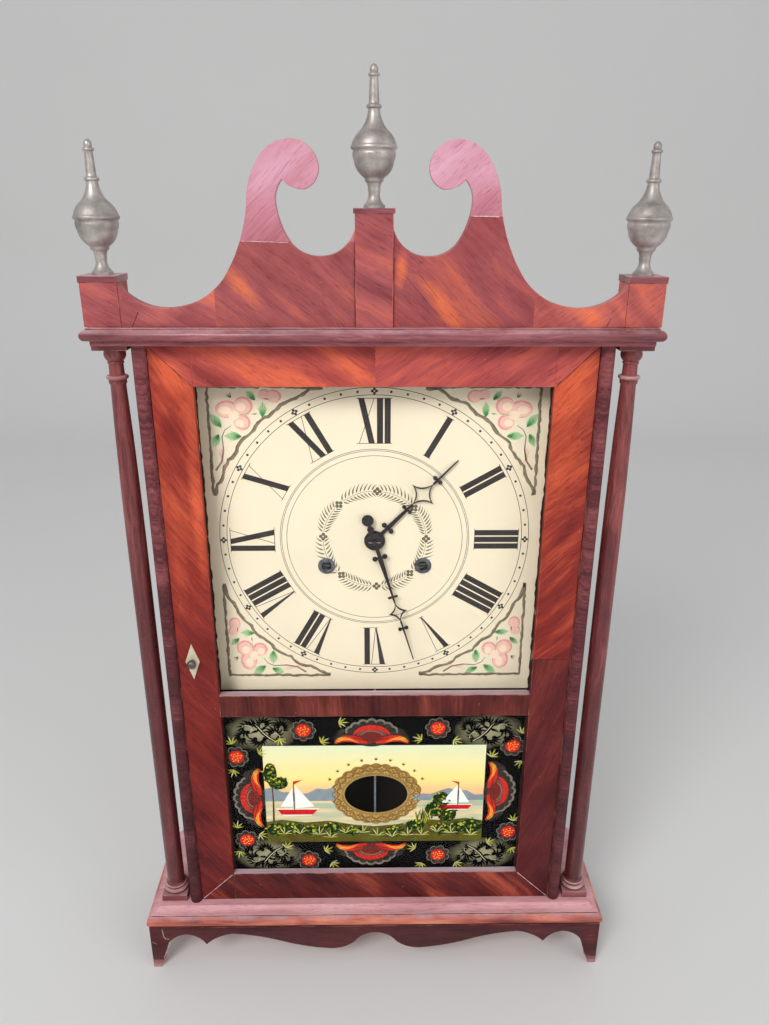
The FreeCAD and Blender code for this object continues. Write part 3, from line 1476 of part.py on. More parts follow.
def make_pulleys():
    z = case_top - S.pulley_drop
    half = S.pulley_width / 2
    brackets = []
    forwards = Vector(0, 1, 0)
    for label, sign in (("time_pulley", 1), ("strike_pulley", -1)):
        x = sign * (S.weight_place - S.pulley_radius)
        profile = [
            (S.pulley_pin_radius + S.running_fit, -half),
            (S.pulley_radius, -half),
            (S.pulley_radius, S.pulley_rim - half),
            (S.pulley_radius - S.pulley_groove, 0),
            (S.pulley_radius, half - S.pulley_rim),
            (S.pulley_radius, half),
            (S.pulley_pin_radius + S.running_fit, half),
        ]
        subpart(turned(label + "_turning", "XY_Plane", profile, (x, weight_y, z)), label)
        wide = S.bracket_block_width / 2
        cheek = half + S.bracket_play
        outer = cheek + S.bracket_wall
        bridge_low = (x - wide, weight_y - outer, case_top - S.bracket_bridge)
        pieces = [
            board("Bridge", bridge_low, (x + wide, weight_y + outer, case_top)),
            rod("PulleyPin", S.pulley_pin_radius, outer * 2, (x, weight_y - outer, z), forwards),
        ]
        for near, far in ((-outer, -cheek), (cheek, outer)):
            low = (x - wide / 2, weight_y + near, z - S.bracket_wall * 2)
            pieces.append(board("Cheek", low, (x + wide / 2, weight_y + far, case_top)))
        brackets.append(joined("Bracket", pieces))
    subpart(group("Brackets", brackets), "pulley_brackets")


def check_and_write():
    doc.recompute()
    for thing in doc.Objects:
        if "Invalid" in thing.State or "Error" in thing.State:
            raise RuntimeError("%s (%s) failed: %s" % (thing.Name, thing.Label, thing.State))
    for thing in SUBPARTS:
        if thing.Shape.isNull() or not thing.Shape.isValid() or not thing.Shape.Solids:
            raise RuntimeError("%s has no valid solid" % thing.Label)
    os.makedirs("parts", exist_ok=True)
    for thing in SUBPARTS:
        thing.Shape.exportStep("parts/%s.step" % thing.Label)
    print("%d sub-parts written" % len(SUBPARTS))


make_base()
make_case()
make_columns()
make_cornice()
make_crest()
make_finials()
make_door()
make_knob()
make_hinge_pins()
make_dial()
make_plates()
make_time_train()
make_motion_work()
make_hands()
make_escapement()
make_pendulum()
make_strike_train()
make_bell()
make_weights()
make_pulleys()
check_and_write()
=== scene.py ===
"""Looks for the pillar and scroll shelf clock: veneers, paint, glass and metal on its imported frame."""

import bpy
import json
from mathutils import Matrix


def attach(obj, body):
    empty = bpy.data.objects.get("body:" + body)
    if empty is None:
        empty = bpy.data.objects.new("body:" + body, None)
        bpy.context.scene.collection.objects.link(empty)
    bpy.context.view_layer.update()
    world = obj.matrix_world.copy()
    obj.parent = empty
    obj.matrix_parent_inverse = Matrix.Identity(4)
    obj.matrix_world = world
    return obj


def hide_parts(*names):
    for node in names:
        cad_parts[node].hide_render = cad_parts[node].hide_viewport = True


bl_info = {
    "name": "Pillar and Scroll Clock",
    "version": (1, 0, 0),
    "blender": (4, 5, 0),
    "location": "View3D > Sidebar > Clock",
    "description": "Veneers, paint, glass and metal for a pillar and scroll shelf clock",
    "category": "Object",
}

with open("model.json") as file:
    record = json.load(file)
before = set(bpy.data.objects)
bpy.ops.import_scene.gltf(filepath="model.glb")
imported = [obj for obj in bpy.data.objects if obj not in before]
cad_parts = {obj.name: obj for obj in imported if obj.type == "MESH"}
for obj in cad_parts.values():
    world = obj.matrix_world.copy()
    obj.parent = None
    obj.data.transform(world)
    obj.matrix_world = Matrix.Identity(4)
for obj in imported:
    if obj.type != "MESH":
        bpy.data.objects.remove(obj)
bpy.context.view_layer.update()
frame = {"nodes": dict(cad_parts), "record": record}

import json
import math
import random

import bmesh
import bpy
from mathutils import Matrix, Vector

MM = 0.001
BODY_OF = {node: body for body, nodes in frame["record"]["behaviour"]["bodies"].items() for node in nodes}
SLOT_OF = {part["node"]: part["material_slot"] for part in frame["record"]["subparts"]}

# Planes and centres of the clock, in millimetres
DIAL_FACE = -13.0
DIAL_CENTRE = 439.3
CASE_FACE = -38.7
STEP_FACE = -53.0
STEP_FOOT = 63.0
STEP_HALF = 215.6
APRON_FACE = -55.5
CREST_FACE = -47.3
GLASS_BACK = -30.0
GLASS_FACE = -32.0
OPENING_HALF = 136.5
DIAL_OPENING = (301.9, 574.8)
TABLET_OPENING = (100.9, 280.3)
DOOR_HALF = 168.3
DOOR_FOOT, DOOR_HEAD = 69.5, 605.9
RAIL_JOINT = 0.7
STILE_JOINT = 337.5
CREST_FOOT = 621.0
CREST_PLINTH_HALF = 14.0
CREST_END_JOINTS = (-113.8, 115.0)
SCROLL_JOINTS = (679.0, 695.8)
COLUMN_AXES = ((-195.2, -28.0), (195.2, -28.0))
NECK_RINGS, NECK_RADIUS = (560, 592), 7.0
FOOT_RINGS_TOP, FOOT_RADIUS = 86, 9.2
SIDE_FINIAL_AXES = ((-195.0, -34.4), (195.0, -34.4))
CENTRE_FINIAL_AXIS = (0.0, -40.9)
BORDER_MIDDLE = 186.5
DRUM_FRONT, CENTRE_WHEEL_FRONT = 12.0, 5.0
BOB_TOP, ROD_HALF = 200.0, 1.6
HAND_PIN_DEPTH, HAND_PIN_LENGTH, HAND_PIN_RADII = -19.6, 10.0, (0.55, 0.35)


def screen(red, green, blue):
    """A colour as a screen shows it, 0 to 255, in the linear numbers that shaders take."""
    return tuple(v / 12.92 if v <= 0.04045 else ((v + 0.055) / 1.055) ** 2.4
                 for v in (red / 255, green / 255, blue / 255))


# ---------------------------------------------------------------- settings

def colour_setting(name, description, shade):
    return bpy.props.FloatVectorProperty(name=name, description=description, default=screen(*shade),
                                         subtype="COLOR", size=3, min=0.0, max=1.0)


class ClockWood(bpy.types.PropertyGroup):
    dark: colour_setting("Dark veneer", "Darkest streaks of the mahogany veneer", (84, 18, 22))
    middle: colour_setting("Veneer", "Main colour of the mahogany veneer", (150, 50, 40))
    light: colour_setting("Light veneer", "Brightest flames of the mahogany veneer", (222, 98, 64))
    column: colour_setting("Column", "Main colour of the turned columns", (106, 42, 44))
    # This colour is bloom and dust on the varnish, and also the pink painted sheen laid on upward faces.
    haze: colour_setting("Haze", "Bloom and dust that lie on the old varnish", (214, 176, 184))
    worn: colour_setting("Worn edge", "Wood that shows where an edge is rubbed", (206, 138, 112))
    edge_radius: bpy.props.FloatProperty(
        name="Edge radius", description="How far the corners are rubbed round", default=0.0005, min=0.0,
        unit="LENGTH", subtype="DISTANCE", precision=5)


class ClockDial(bpy.types.PropertyGroup):
    ground: colour_setting("Ground", "Cream paint of the dial", (234, 218, 191))
    ink: colour_setting("Ink", "Black paint of the numerals", (58, 52, 50))


class ClockMetal(bpy.types.PropertyGroup):
    brass: colour_setting("Finial brass", "Dull brass of the finials", (212, 202, 196))
    steel: colour_setting("Hand steel", "Darkened steel of the hands", (58, 50, 52))


class ClockStage(bpy.types.PropertyGroup):
    floor: colour_setting("Floor", "Pale floor and wall", (232, 231, 229))
    key_power: bpy.props.FloatProperty(name="Key lamp", description="Power of the main lamp", default=27.0,
                                       min=0.0, unit="POWER")
    fill_power: bpy.props.FloatProperty(name="Fill lamp", description="Power of the fill lamp", default=8.0,
                                        min=0.0, unit="POWER")


# ---------------------------------------------------------------- shader nodes

class Wiring:
    """Puts shader nodes in one tree. Every call gives back the socket that carries its result."""

    def __init__(self, tree):
        self.tree = tree

    def put(self, kind, takes=None, gives=0, **settings):
        node = self.tree.nodes.new("ShaderNode" + kind)
        for name, value in settings.items():
            setattr(node, name, value)
        for name, value in (takes or {}).items():
            if isinstance(value, bpy.types.NodeSocket):
                self.tree.links.new(value, node.inputs[name])
            else:
                node.inputs[name].default_value = value
        return node.outputs[gives]

    def sums(self, kind, first, second=0.0, clamp=False):
        return self.put("Math", {0: first, 1: second}, operation=kind, use_clamp=clamp)

    def scaled(self, vector, factors):
        return self.put("VectorMath", {0: vector, 1: factors}, operation="MULTIPLY")

    def mixed(self, factor, first, second, blend="MIX"):
        """Two colours mixed; a plain colour may have three numbers."""
        first, second = [(*c, 1.0) if isinstance(c, tuple) and len(c) == 3 else c for c in (first, second)]
        return self.put("Mix", {0: factor, 6: first, 7: second}, gives=2, data_type="RGBA", blend_type=blend,
                        clamp_factor=True)

    def spread(self, value, low, high, start=0.0, end=1.0):
        return self.put("MapRange", {0: value, 1: low, 2: high, 3: start, 4: end}, clamp=True)

    def noise(self, vector, scale, detail=2.0, rough=0.5, gives=0):
        return self.put("TexNoise", {"Vector": vector, "Scale": scale, "Detail": detail, "Roughness": rough},
                        gives=gives)

    def bump(self, height, strength, distance):
        return self.put("Bump", {"Height": height, "Strength": strength, "Distance": distance})


def shared_group(name, takes, gives, fill):
    """A node group that several finishes use. takes has (name, kind, default), gives has (name, kind)."""
    tree = bpy.data.node_groups.new(name, "ShaderNodeTree")
    for label, kind, value in takes:
        socket = tree.interface.new_socket(name=label, in_out="INPUT", socket_type="NodeSocket" + kind)
        if value is not None:
            socket.default_value = value
    for label, kind in gives:
        tree.interface.new_socket(name=label, in_out="OUTPUT", socket_type="NodeSocket" + kind)
    start = tree.nodes.new("NodeGroupInput")
    end = tree.nodes.new("NodeGroupOutput")
    wiring = Wiring(tree)
    for label, socket in fill(wiring, start.outputs).items():
        tree.links.new(socket, end.inputs[label])
    return tree


def fill_figure(w, takes):
    """Streaks and pores along Z, and soft ribbons across them on coordinates of their own."""
    drift = w.noise(takes["Grain"], 9.0, 2.0, gives=1)
    drift = w.put("VectorMath", {0: drift, 1: (0.5, 0.5, 0.5)}, operation="SUBTRACT")
    drift = w.put("VectorMath", {0: drift, "Scale": 0.02}, operation="SCALE")
    bent = w.put("VectorMath", {0: takes["Grain"], 1: drift}, operation="ADD")
    streak = w.noise(w.scaled(bent, (420.0, 420.0, 14.0)), 1.0, 5.0, 0.65)
    pores = w.spread(w.noise(w.scaled(bent, (1500.0, 1500.0, 70.0)), 1.0, 2.0), 0.56, 0.7)
    ribbon_place = w.put("VectorMath", {0: takes["Ribbon"], 1: drift}, operation="ADD")
    ribbon = w.spread(w.noise(w.scaled(ribbon_place, (46.0, 46.0, 7.0)), 1.0, 3.0, 0.55), 0.34, 0.68)
    cloud = w.noise(takes["Grain"], 14.0, 2.0)
    value = w.sums("MULTIPLY", w.sums("SUBTRACT", streak, 0.5), takes["Streak"])
    value = w.sums("ADD", value, w.sums("MULTIPLY", w.sums("SUBTRACT", ribbon, 0.5), takes["Flame"]))
    value = w.sums("ADD", value, w.sums("MULTIPLY", w.sums("SUBTRACT", cloud, 0.5), 0.5))
    value = w.sums("ADD", value, takes["Tone"], clamp=True)
    colour = w.mixed(w.spread(value, 0.0, 0.5), takes["Dark"], takes["Middle"])
    colour = w.mixed(w.spread(value, 0.5, 1.0), colour, takes["Light"])
    colour = w.mixed(w.sums("MULTIPLY", pores, 0.45), colour, takes["Dark"], blend="MULTIPLY")
    height = w.sums("SUBTRACT", w.sums("MULTIPLY", streak, 0.4), w.sums("MULTIPLY", pores, 0.6))
    return {"Color": colour, "Height": height}


def fill_wear(w, takes):
    """Rubbed corners, small pale nicks, and pale dust with a painted sheen on what faces up."""
    place = takes["Place"]
    patch = w.spread(w.noise(place, 60.0, 4.0, 0.6), 0.46, 0.6)
    eased = w.put("Attribute", gives="Fac", attribute_name="eased")
    rubbed = w.sums("MULTIPLY", w.sums("MULTIPLY", eased, patch), takes["Wear"])
    nick = w.spread(w.noise(place, 430.0, 1.0), 0.79, 0.82)
    # Upward faces get pale dust and, with it, a painted sheen of the light from above.
    up = w.put("SeparateXYZ", {0: w.put("NewGeometry", gives="Normal")}, gives="Z")
    drifts = w.spread(w.noise(place, 35.0, 5.0, 0.65), 0.3, 0.75)
    dust_and_sheen_up = w.sums("MULTIPLY", w.spread(up, 0.3, 1.0), drifts)
    haze = w.spread(w.noise(place, 22.0, 5.0, 0.6), 0.25, 0.85)
    haze = w.sums("MULTIPLY", haze, takes["Haze"])
    haze_dust_and_sheen = w.sums("ADD", haze, w.sums("MULTIPLY", dust_and_sheen_up, takes["Sheen and dust"]), clamp=True)
    colour = w.mixed(rubbed, takes["Color"], takes["Worn Color"])
    colour = w.mixed(w.sums("MULTIPLY", nick, takes["Wear"]), colour, takes["Worn Color"])
    colour = w.mixed(haze_dust_and_sheen, colour, takes["Sheen and dust color"])
    return {"Color": colour, "Mask": w.sums("MAXIMUM", rubbed, haze_dust_and_sheen)}


def fill_patina(w, takes):
    """Cloudy tarnish with darker spots, on metal or paint."""
    place = takes["Place"]
    cloud = w.spread(w.noise(place, takes["Scale"], 5.0, 0.65), 0.3, 0.7)
    spot = w.spread(w.noise(place, w.sums("MULTIPLY", takes["Scale"], 6.0), 3.0), 0.62, 0.72)
    colour = w.mixed(cloud, takes["Dark"], takes["Light"])
    colour = w.mixed(w.sums("MULTIPLY", spot, takes["Spots"]), colour, takes["Dark"])
    rough = w.spread(cloud, 0.0, 1.0, 0.62, 0.36)
    return {"Color": colour, "Roughness": rough, "Height": w.sums("SUBTRACT", cloud, spot)}


GROUPS = {}


def build_groups():
    GROUPS["figure"] = shared_group(
        "Wood figure",
        [("Grain", "Vector", None), ("Ribbon", "Vector", None), ("Dark", "Color", None),
         ("Middle", "Color", None), ("Light", "Color", None), ("Streak", "Float", 0.5),
         ("Flame", "Float", 0.5), ("Tone", "Float", 0.5)],
        [("Color", "Color"), ("Height", "Float")], fill_figure)
    GROUPS["wear"] = shared_group(
        "Worn varnish",
        [("Place", "Vector", None), ("Color", "Color", None), ("Worn Color", "Color", None),
         ("Sheen and dust color", "Color", None), ("Wear", "Float", 0.5), ("Haze", "Float", 0.1),
         ("Sheen and dust", "Float", 0.4)],
        [("Color", "Color"), ("Mask", "Float")], fill_wear)
    GROUPS["patina"] = shared_group(
        "Patina",
        [("Place", "Vector", None), ("Dark", "Color", None), ("Light", "Color", None),
         ("Scale", "Float", 60.0), ("Spots", "Float", 0.5)],
        [("Color", "Color"), ("Roughness", "Float"), ("Height", "Float")], fill_patina)


class Finish:
    """One material: its wiring, its Principled shader and the piece's own coordinates."""

    def __init__(self, name, **constants):
        self.material = bpy.data.materials.new(name)
        self.material.use_nodes = True
        self.w = Wiring(self.material.node_tree)
        self.shader = self.material.node_tree.nodes["Principled BSDF"]
        for label, value in constants.items():
            self.shader.inputs[label.replace("_", " ")].default_value = value
        self.place = self.w.put("TexCoord", gives="Object")

    def feed(self, label, socket):
        self.w.tree.links.new(socket, self.shader.inputs[label])

    def group(self, name, takes):
        """Puts one of the shared groups in and gives its outputs by name."""
        node = self.w.tree.nodes.new("ShaderNodeGroup")
        node.node_tree = GROUPS[name]
        for label, value in takes.items():
            if isinstance(value, bpy.types.NodeSocket):
                self.w.tree.links.new(value, node.inputs[label])
            else:
                value = (*value, 1.0) if isinstance(value, tuple) and len(value) == 3 else value
                node.inputs[label].default_value = value
        return node.outputs


FINISHES = {}
ACROSS = {"grain": (0, 90, 0), "ribbon": (0, 90, 0)}    # for a board whose figure runs from side to side


def wood(name, dark, middle, light, grain=(0, 0, 0), ribbon=(0, 30, 0), shift=0.0, streak=0.9, flame=0.6,
         tone=0.45, tones=None, flares=(), zoom=(1.0, 1.0, 1.0), wear=0.6, haze=0.03, dust_and_sheen=0.35, coat=0.06,
         shine=0.12, gloss=(0.32, 0.5)):
    """A varnished or bare wood. grain and ribbon turn the coordinates until the figure runs along Z; tones
    is (axis, from, to, tone at from, tone at to), in millimetres, for a board painted lighter at one end:
    on most boards this gradient is painted light from above or painted shade. flares are lighter flames:
    (x, z, half width, half length, degrees clockwise from up, strength). The dust amount also lays a painted
    sheen on upward faces."""
    settings = bpy.context.scene.clock_wood
    finish = Finish(name, Coat_Weight=coat, Coat_Roughness=0.2, Specular_IOR_Level=shine)
    w = finish.w
    turned = [w.put("Mapping", {"Vector": finish.place, "Location": (shift, shift * 0.7, shift * 1.3),
                                "Rotation": [math.radians(a) for a in turn],
                                "Scale": zoom if turn is ribbon else (1.0, 1.0, 1.0)})
              for turn in (grain, ribbon)]
    if tones:
        axis, start, end, low, high = tones
        along = w.put("SeparateXYZ", {0: finish.place}, gives=axis)
        tone = w.spread(along, start * MM, end * MM, low, high)
    for x, z, wide, high, turn, strength in flares:
        local = w.put("Mapping", {"Vector": finish.place, "Location": (x * MM, 0.0, z * MM),
                                  "Rotation": (0.0, math.radians(turn), 0.0),
                                  "Scale": (wide * MM, 1.0, high * MM)}, vector_type="TEXTURE")
        local = w.put("VectorMath", {0: local, 1: w.scaled(w.noise(finish.place, 60.0, 3.0, gives=1),
                                                           (0.8, 0.8, 0.8))}, operation="ADD")
        local = w.put("VectorMath", {0: local, 1: (0.4, 0.4, 0.4)}, operation="SUBTRACT")
        far = w.put("VectorMath", {0: local}, gives="Value", operation="LENGTH")
        tone = w.sums("ADD", tone, w.spread(far, 1.1, 0.1, 0.0, strength))
    figure = finish.group("figure", {"Grain": turned[0], "Ribbon": turned[1], "Dark": dark, "Middle": middle,
                                     "Light": light, "Streak": streak, "Flame": flame, "Tone": tone})
    worn = finish.group("wear", {"Place": finish.place, "Color": figure["Color"],
                                 "Worn Color": tuple(settings.worn), "Sheen and dust color": tuple(settings.haze),
                                 "Wear": wear, "Haze": haze, "Sheen and dust": dust_and_sheen})
    finish.feed("Base Color", worn["Color"])
    rough = w.spread(w.noise(finish.place, 90.0, 3.0), 0.3, 0.7, *gloss)
    finish.feed("Roughness", w.sums("ADD", rough, w.sums("MULTIPLY", worn["Mask"], 0.2), clamp=True))
    finish.feed("Normal", w.bump(figure["Height"], 0.25, 0.0002))
    FINISHES[name] = finish.material
    return finish


def metal(name, dark, light, scale=60.0, spots=0.5, metallic=0.85, rings=0.0):
    """Tarnished metal; rings is how strongly the lathe's fine rings show."""
    finish = Finish(name, Metallic=metallic)
    patina = finish.group("patina", {"Place": finish.place, "Dark": dark, "Light": light, "Scale": scale,
                                     "Spots": spots})
    finish.feed("Base Color", patina["Color"])
    finish.feed("Roughness", patina["Roughness"])
    height = patina["Height"]
    if rings:
        lathe = finish.w.noise(finish.w.scaled(finish.place, (0.0, 0.0, 2600.0)), 1.0, 2.0)
        height = finish.w.sums("ADD", height, finish.w.sums("MULTIPLY", lathe, rings))
    finish.feed("Normal", finish.w.bump(height, 0.2, 0.0002))
    FINISHES[name] = finish.material
    return finish


def paint(name, shade, mottle=0.12, rough=0.5, scale=120.0, shift=(0.0, 0.0, 0.0), shine=0.3):
    """Opaque paint with a slight mottle; shift lets a stroke lean to a second shade."""
    finish = Finish(name, Specular_IOR_Level=shine)
    w = finish.w
    other = tuple(max(0.0, min(1.0, c * (1.0 - mottle) + s)) for c, s in zip(shade, shift))
    cloud = w.spread(w.noise(finish.place, scale, 4.0, 0.6), 0.3, 0.7)
    finish.feed("Base Color", w.mixed(cloud, shade, other))
    finish.feed("Roughness", w.spread(cloud, 0.0, 1.0, rough - 0.06, rough + 0.06))
    finish.feed("Normal", w.bump(cloud, 0.08, 0.0001))
    FINISHES[name] = finish.material
    return finish


# ---------------------------------------------------------------- pieces

def placed(name, shape, body, slot, finishes, nodes=(), smooth=35.0):
    """Makes a finished object of a bmesh whose place is already in its points."""
    mesh = bpy.data.meshes.new(name)
    shape.to_mesh(mesh)
    shape.free()
    if smooth:
        mesh.shade_smooth()
        mesh.set_sharp_from_angle(angle=math.radians(smooth))
    for finish in finishes:
        mesh.materials.append(FINISHES[finish])
    piece = bpy.data.objects.new(name, mesh)
    bpy.context.scene.collection.objects.link(piece)
    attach(piece, body)
    if nodes:
        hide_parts(*nodes)
    return piece


def copy_of(node):
    """A node's shape as clean faces, its loose triangles joined."""
    shape = bmesh.new()
    shape.from_mesh(frame["nodes"][node].data)
    for face in shape.faces:
        face.material_index = 0
    bmesh.ops.remove_doubles(shape, verts=shape.verts[:], dist=0.002 * MM)
    return shape


def dressed(node, finishes, edge=None, pick=None, cuts=(), sharp=28.0):
    """A node's own shape with its corners eased. cuts are (point, normal) planes that split its faces, and
    pick gives each face's finish from its middle and normal."""
    shape = copy_of(node)
    bmesh.ops.dissolve_limit(shape, angle_limit=math.radians(0.4), verts=shape.verts[:],
                             edges=shape.edges[:])
    eased = shape.faces.layers.float.new("eased")
    radius = bpy.context.scene.clock_wood.edge_radius if edge is None else edge * MM
    if radius:
        corners = [e for e in shape.edges if len(e.link_faces) == 2
                   and e.calc_face_angle(0.0) > math.radians(sharp)]
        made = bmesh.ops.bevel(shape, geom=corners, offset=radius, offset_type="OFFSET", segments=2,
                               profile=0.5, affect="EDGES", material=-1, clamp_overlap=True)
        for face in made["faces"]:
            face[eased] = 1.0
    for point, normal in cuts:
        bmesh.ops.bisect_plane(shape, geom=shape.verts[:] + shape.edges[:] + shape.faces[:],
                               plane_co=Vector(point) * MM, plane_no=normal)
    if pick:
        for face in shape.faces:
            middle = face.calc_center_median() / MM
            face.material_index = pick(middle, face.normal)
    return placed(node + "_dressed", shape, BODY_OF[node], SLOT_OF[node], finishes, (node,), smooth=24.0)


def turned(node, axes, finishes, steps=64, pick=None):
    """A turned node made round again: its outline is cut at each axis and spun."""
    whole = bmesh.new()
    for across, deep in axes:
        shape = copy_of(node)
        far = [v for v in shape.verts if abs(v.co.x / MM - across) > 40.0]
        bmesh.ops.delete(shape, geom=far, context="VERTS")
        bmesh.ops.bisect_plane(shape, geom=shape.verts[:] + shape.edges[:] + shape.faces[:],
                               plane_co=(across * MM, deep * MM, 0.0), plane_no=(0.0, 1.0, 0.0),
                               clear_inner=True, clear_outer=True)
        bmesh.ops.delete(shape, geom=shape.faces[:], context="FACES_ONLY")
        left = [v for v in shape.verts if v.co.x / MM < across - 0.01]
        bmesh.ops.delete(shape, geom=left, context="VERTS")
        bmesh.ops.remove_doubles(shape, verts=shape.verts[:], dist=0.01 * MM)
        bmesh.ops.spin(shape, geom=shape.verts[:] + shape.edges[:], cent=(across * MM, deep * MM, 0.0),
                       axis=(0.0, 0.0, 1.0), angle=math.tau, steps=steps, use_merge=True)
        bmesh.ops.remove_doubles(shape, verts=shape.verts[:], dist=0.01 * MM)
        bmesh.ops.recalc_face_normals(shape, faces=shape.faces[:])
        part = bpy.data.meshes.new("part")
        shape.to_mesh(part)
        shape.free()
        whole.from_mesh(part)
        bpy.data.meshes.remove(part)
    eased = whole.faces.layers.float.new("eased")
    for face in whole.faces:
        face[eased] = 0.0
        if pick:
            face.material_index = pick(face.calc_center_median() / MM, face.normal)
    return placed(node + "_turned", whole, BODY_OF[node], SLOT_OF[node], finishes, (node,))


def refinish(node, finish):
    """Gives a node that keeps its own shape a better material."""
    owner = frame["nodes"][node]
    if not owner.material_slots:
        owner.data.materials.append(FINISHES[finish])
    for place in owner.material_slots:
        place.material = FINISHES[finish]


def between(start, end, count):
    """count + 1 places evenly spread along a straight line."""
    return [(start[0] + (end[0] - start[0]) * k / count, start[1] + (end[1] - start[1]) * k / count)
            for k in range(count + 1)]


class Painting:
    """Flat painted shapes on planes that face the viewer, given a hair's thickness at the end. step is how
    far the plane moves for each new coat: forwards on a board, backwards behind glass."""

    def __init__(self, depth, step, seed=1):
        self.shape = bmesh.new()
        self.depth = depth
        self.step = step
        self.chance = random.Random(seed)

    def coat(self, count=1):
        self.depth += self.step * count

    def tint(self, faces, colour):
        for face in faces:
            face.material_index = colour

    def disc(self, x, z, wide, high, turn, sides, filled):
        matrix = (Matrix.Translation((x * MM, self.depth * MM, z * MM))
                  @ Matrix.Rotation(math.radians(turn), 4, "Y")
                  @ Matrix.Diagonal((wide * MM, 1.0, high * MM, 1.0))
                  @ Matrix.Rotation(math.radians(90), 4, "X"))
        return bmesh.ops.create_circle(self.shape, cap_ends=filled, segments=sides, radius=1.0,
                                       matrix=matrix)["verts"]

    def spot(self, x, z, wide, high=None, turn=0.0, colour=0, sides=12):
        """An oval, turned clockwise by turn degrees."""
        made = self.disc(x, z, wide, wide if high is None else high, turn, sides, True)
        self.tint({face for vert in made for face in vert.link_faces}, colour)

    def patch(self, corners, colour=0):
        verts = [self.shape.verts.new((x * MM, self.depth * MM, z * MM)) for x, z in corners]
        self.tint([self.shape.faces.new(verts)], colour)

    def pierced(self, low, high, middle, wide, tall, colour=0):
        """A rectangle with an oval opening, as four quarters."""
        corners = [(high[0], high[1]), (low[0], high[1]), (low[0], low[1]), (high[0], low[1])]
        sides = [(high[0], middle[1]), (middle[0], high[1]), (low[0], middle[1]), (middle[0], low[1])]
        for quarter in range(4):
            turns = [math.radians(90 * quarter + 90 * step / 24) for step in range(25)]
            arc = [(middle[0] + wide * math.cos(turn), middle[1] + tall * math.sin(turn)) for turn in turns]
            self.patch(arc + [sides[(quarter + 1) % 4], corners[quarter], sides[quarter]], colour)

    def stroke(self, points, widths, colour=0, rough=0.0):
        """A brush stroke along points. widths is one number or one for each point."""
        if isinstance(widths, (int, float)):
            widths = [widths] * len(points)
        edge = None
        for index, (x, z) in enumerate(points):
            before = points[max(index - 1, 0)]
            after = points[min(index + 1, len(points) - 1)]
            along = Vector((after[0] - before[0], after[1] - before[1])).normalized()
            half = max(widths[index] * (1.0 + self.chance.uniform(-rough, rough)), 0.04) / 2
            ends = [Vector(((x - along.y * side * half) * MM, self.depth * MM,
                            (z + along.x * side * half) * MM)) for side in (1, -1)]
            if edge is None:
                verts = [self.shape.verts.new(end) for end in ends]
                edge = self.shape.edges.new(verts)
                continue
            made = bmesh.ops.extrude_edge_only(self.shape, edges=[edge])["geom"]
            edge = [item for item in made if isinstance(item, bmesh.types.BMEdge)
                    and not set(item.verts) & set(verts)][0]
            self.tint([item for item in made if isinstance(item, bmesh.types.BMFace)], colour)
            verts = [min(edge.verts, key=lambda v: (v.co - start.co).length) for start in verts]
            for vert, end in zip(verts, ends):
                vert.co = end

    def leaf(self, x, z, heading, length, width, bend=0.0, colour=0, steps=6, blunt=0.5):
        """A pointed stroke that starts at x, z. heading is clockwise from up; bend turns it on the way."""
        points, widths = [], []
        for index in range(steps + 1):
            share = index / steps
            points.append((x, z))
            widths.append(width * math.sin(math.pi * min(1.0, share ** blunt)) + 0.05)
            turn = math.radians(heading + bend * share)
            x += math.sin(turn) * length / steps
            z += math.cos(turn) * length / steps
        self.stroke(points, widths, colour)

    def ring(self, x, z, inner, outer, colour=0, sides=96, ratio=1.0, swell=None):
        """A flat ring, or an oval one by its ratio. swell gives the outer edge's extra at each angle."""
        loops = []
        for radius, extra in ((inner, None), (outer, swell)):
            made = self.disc(x, z, radius, radius * ratio, 0.0, sides, False)
            loops += list({edge for vert in made for edge in vert.link_edges})
            middle = Vector((x * MM, self.depth * MM, z * MM))
            for vert in made if extra else ():
                offset = vert.co - middle
                vert.co += offset.normalized() * extra(math.atan2(offset.z, offset.x)) * MM
        self.tint(bmesh.ops.bridge_loops(self.shape, edges=loops)["faces"], colour)

    def finish(self, name, body, slot, finishes, thick=0.03):
        """Gives every shape its thickness, towards the back, and makes the piece."""
        made = bmesh.ops.extrude_face_region(self.shape, geom=self.shape.faces[:], use_keep_orig=True)
        behind = [item for item in made["geom"] if isinstance(item, bmesh.types.BMVert)]
        bmesh.ops.translate(self.shape, verts=behind, vec=(0.0, thick * MM, 0.0))
        bmesh.ops.recalc_face_normals(self.shape, faces=self.shape.faces[:])
        return placed(name, self.shape, body, slot, finishes, smooth=0.0)


# ---------------------------------------------------------------- operators

FOOT_CRACKS = (((-206.0, 49.0), (-205.6, 44.5), (-205.2, 40.6), (-204.0, 37.0), (-200.2, 36.6)),
               ((-216.8, 33.0), (-213.0, 30.4)), ((-199.6, 33.4), (-203.4, 22.6), (-207.6, 12.0)))


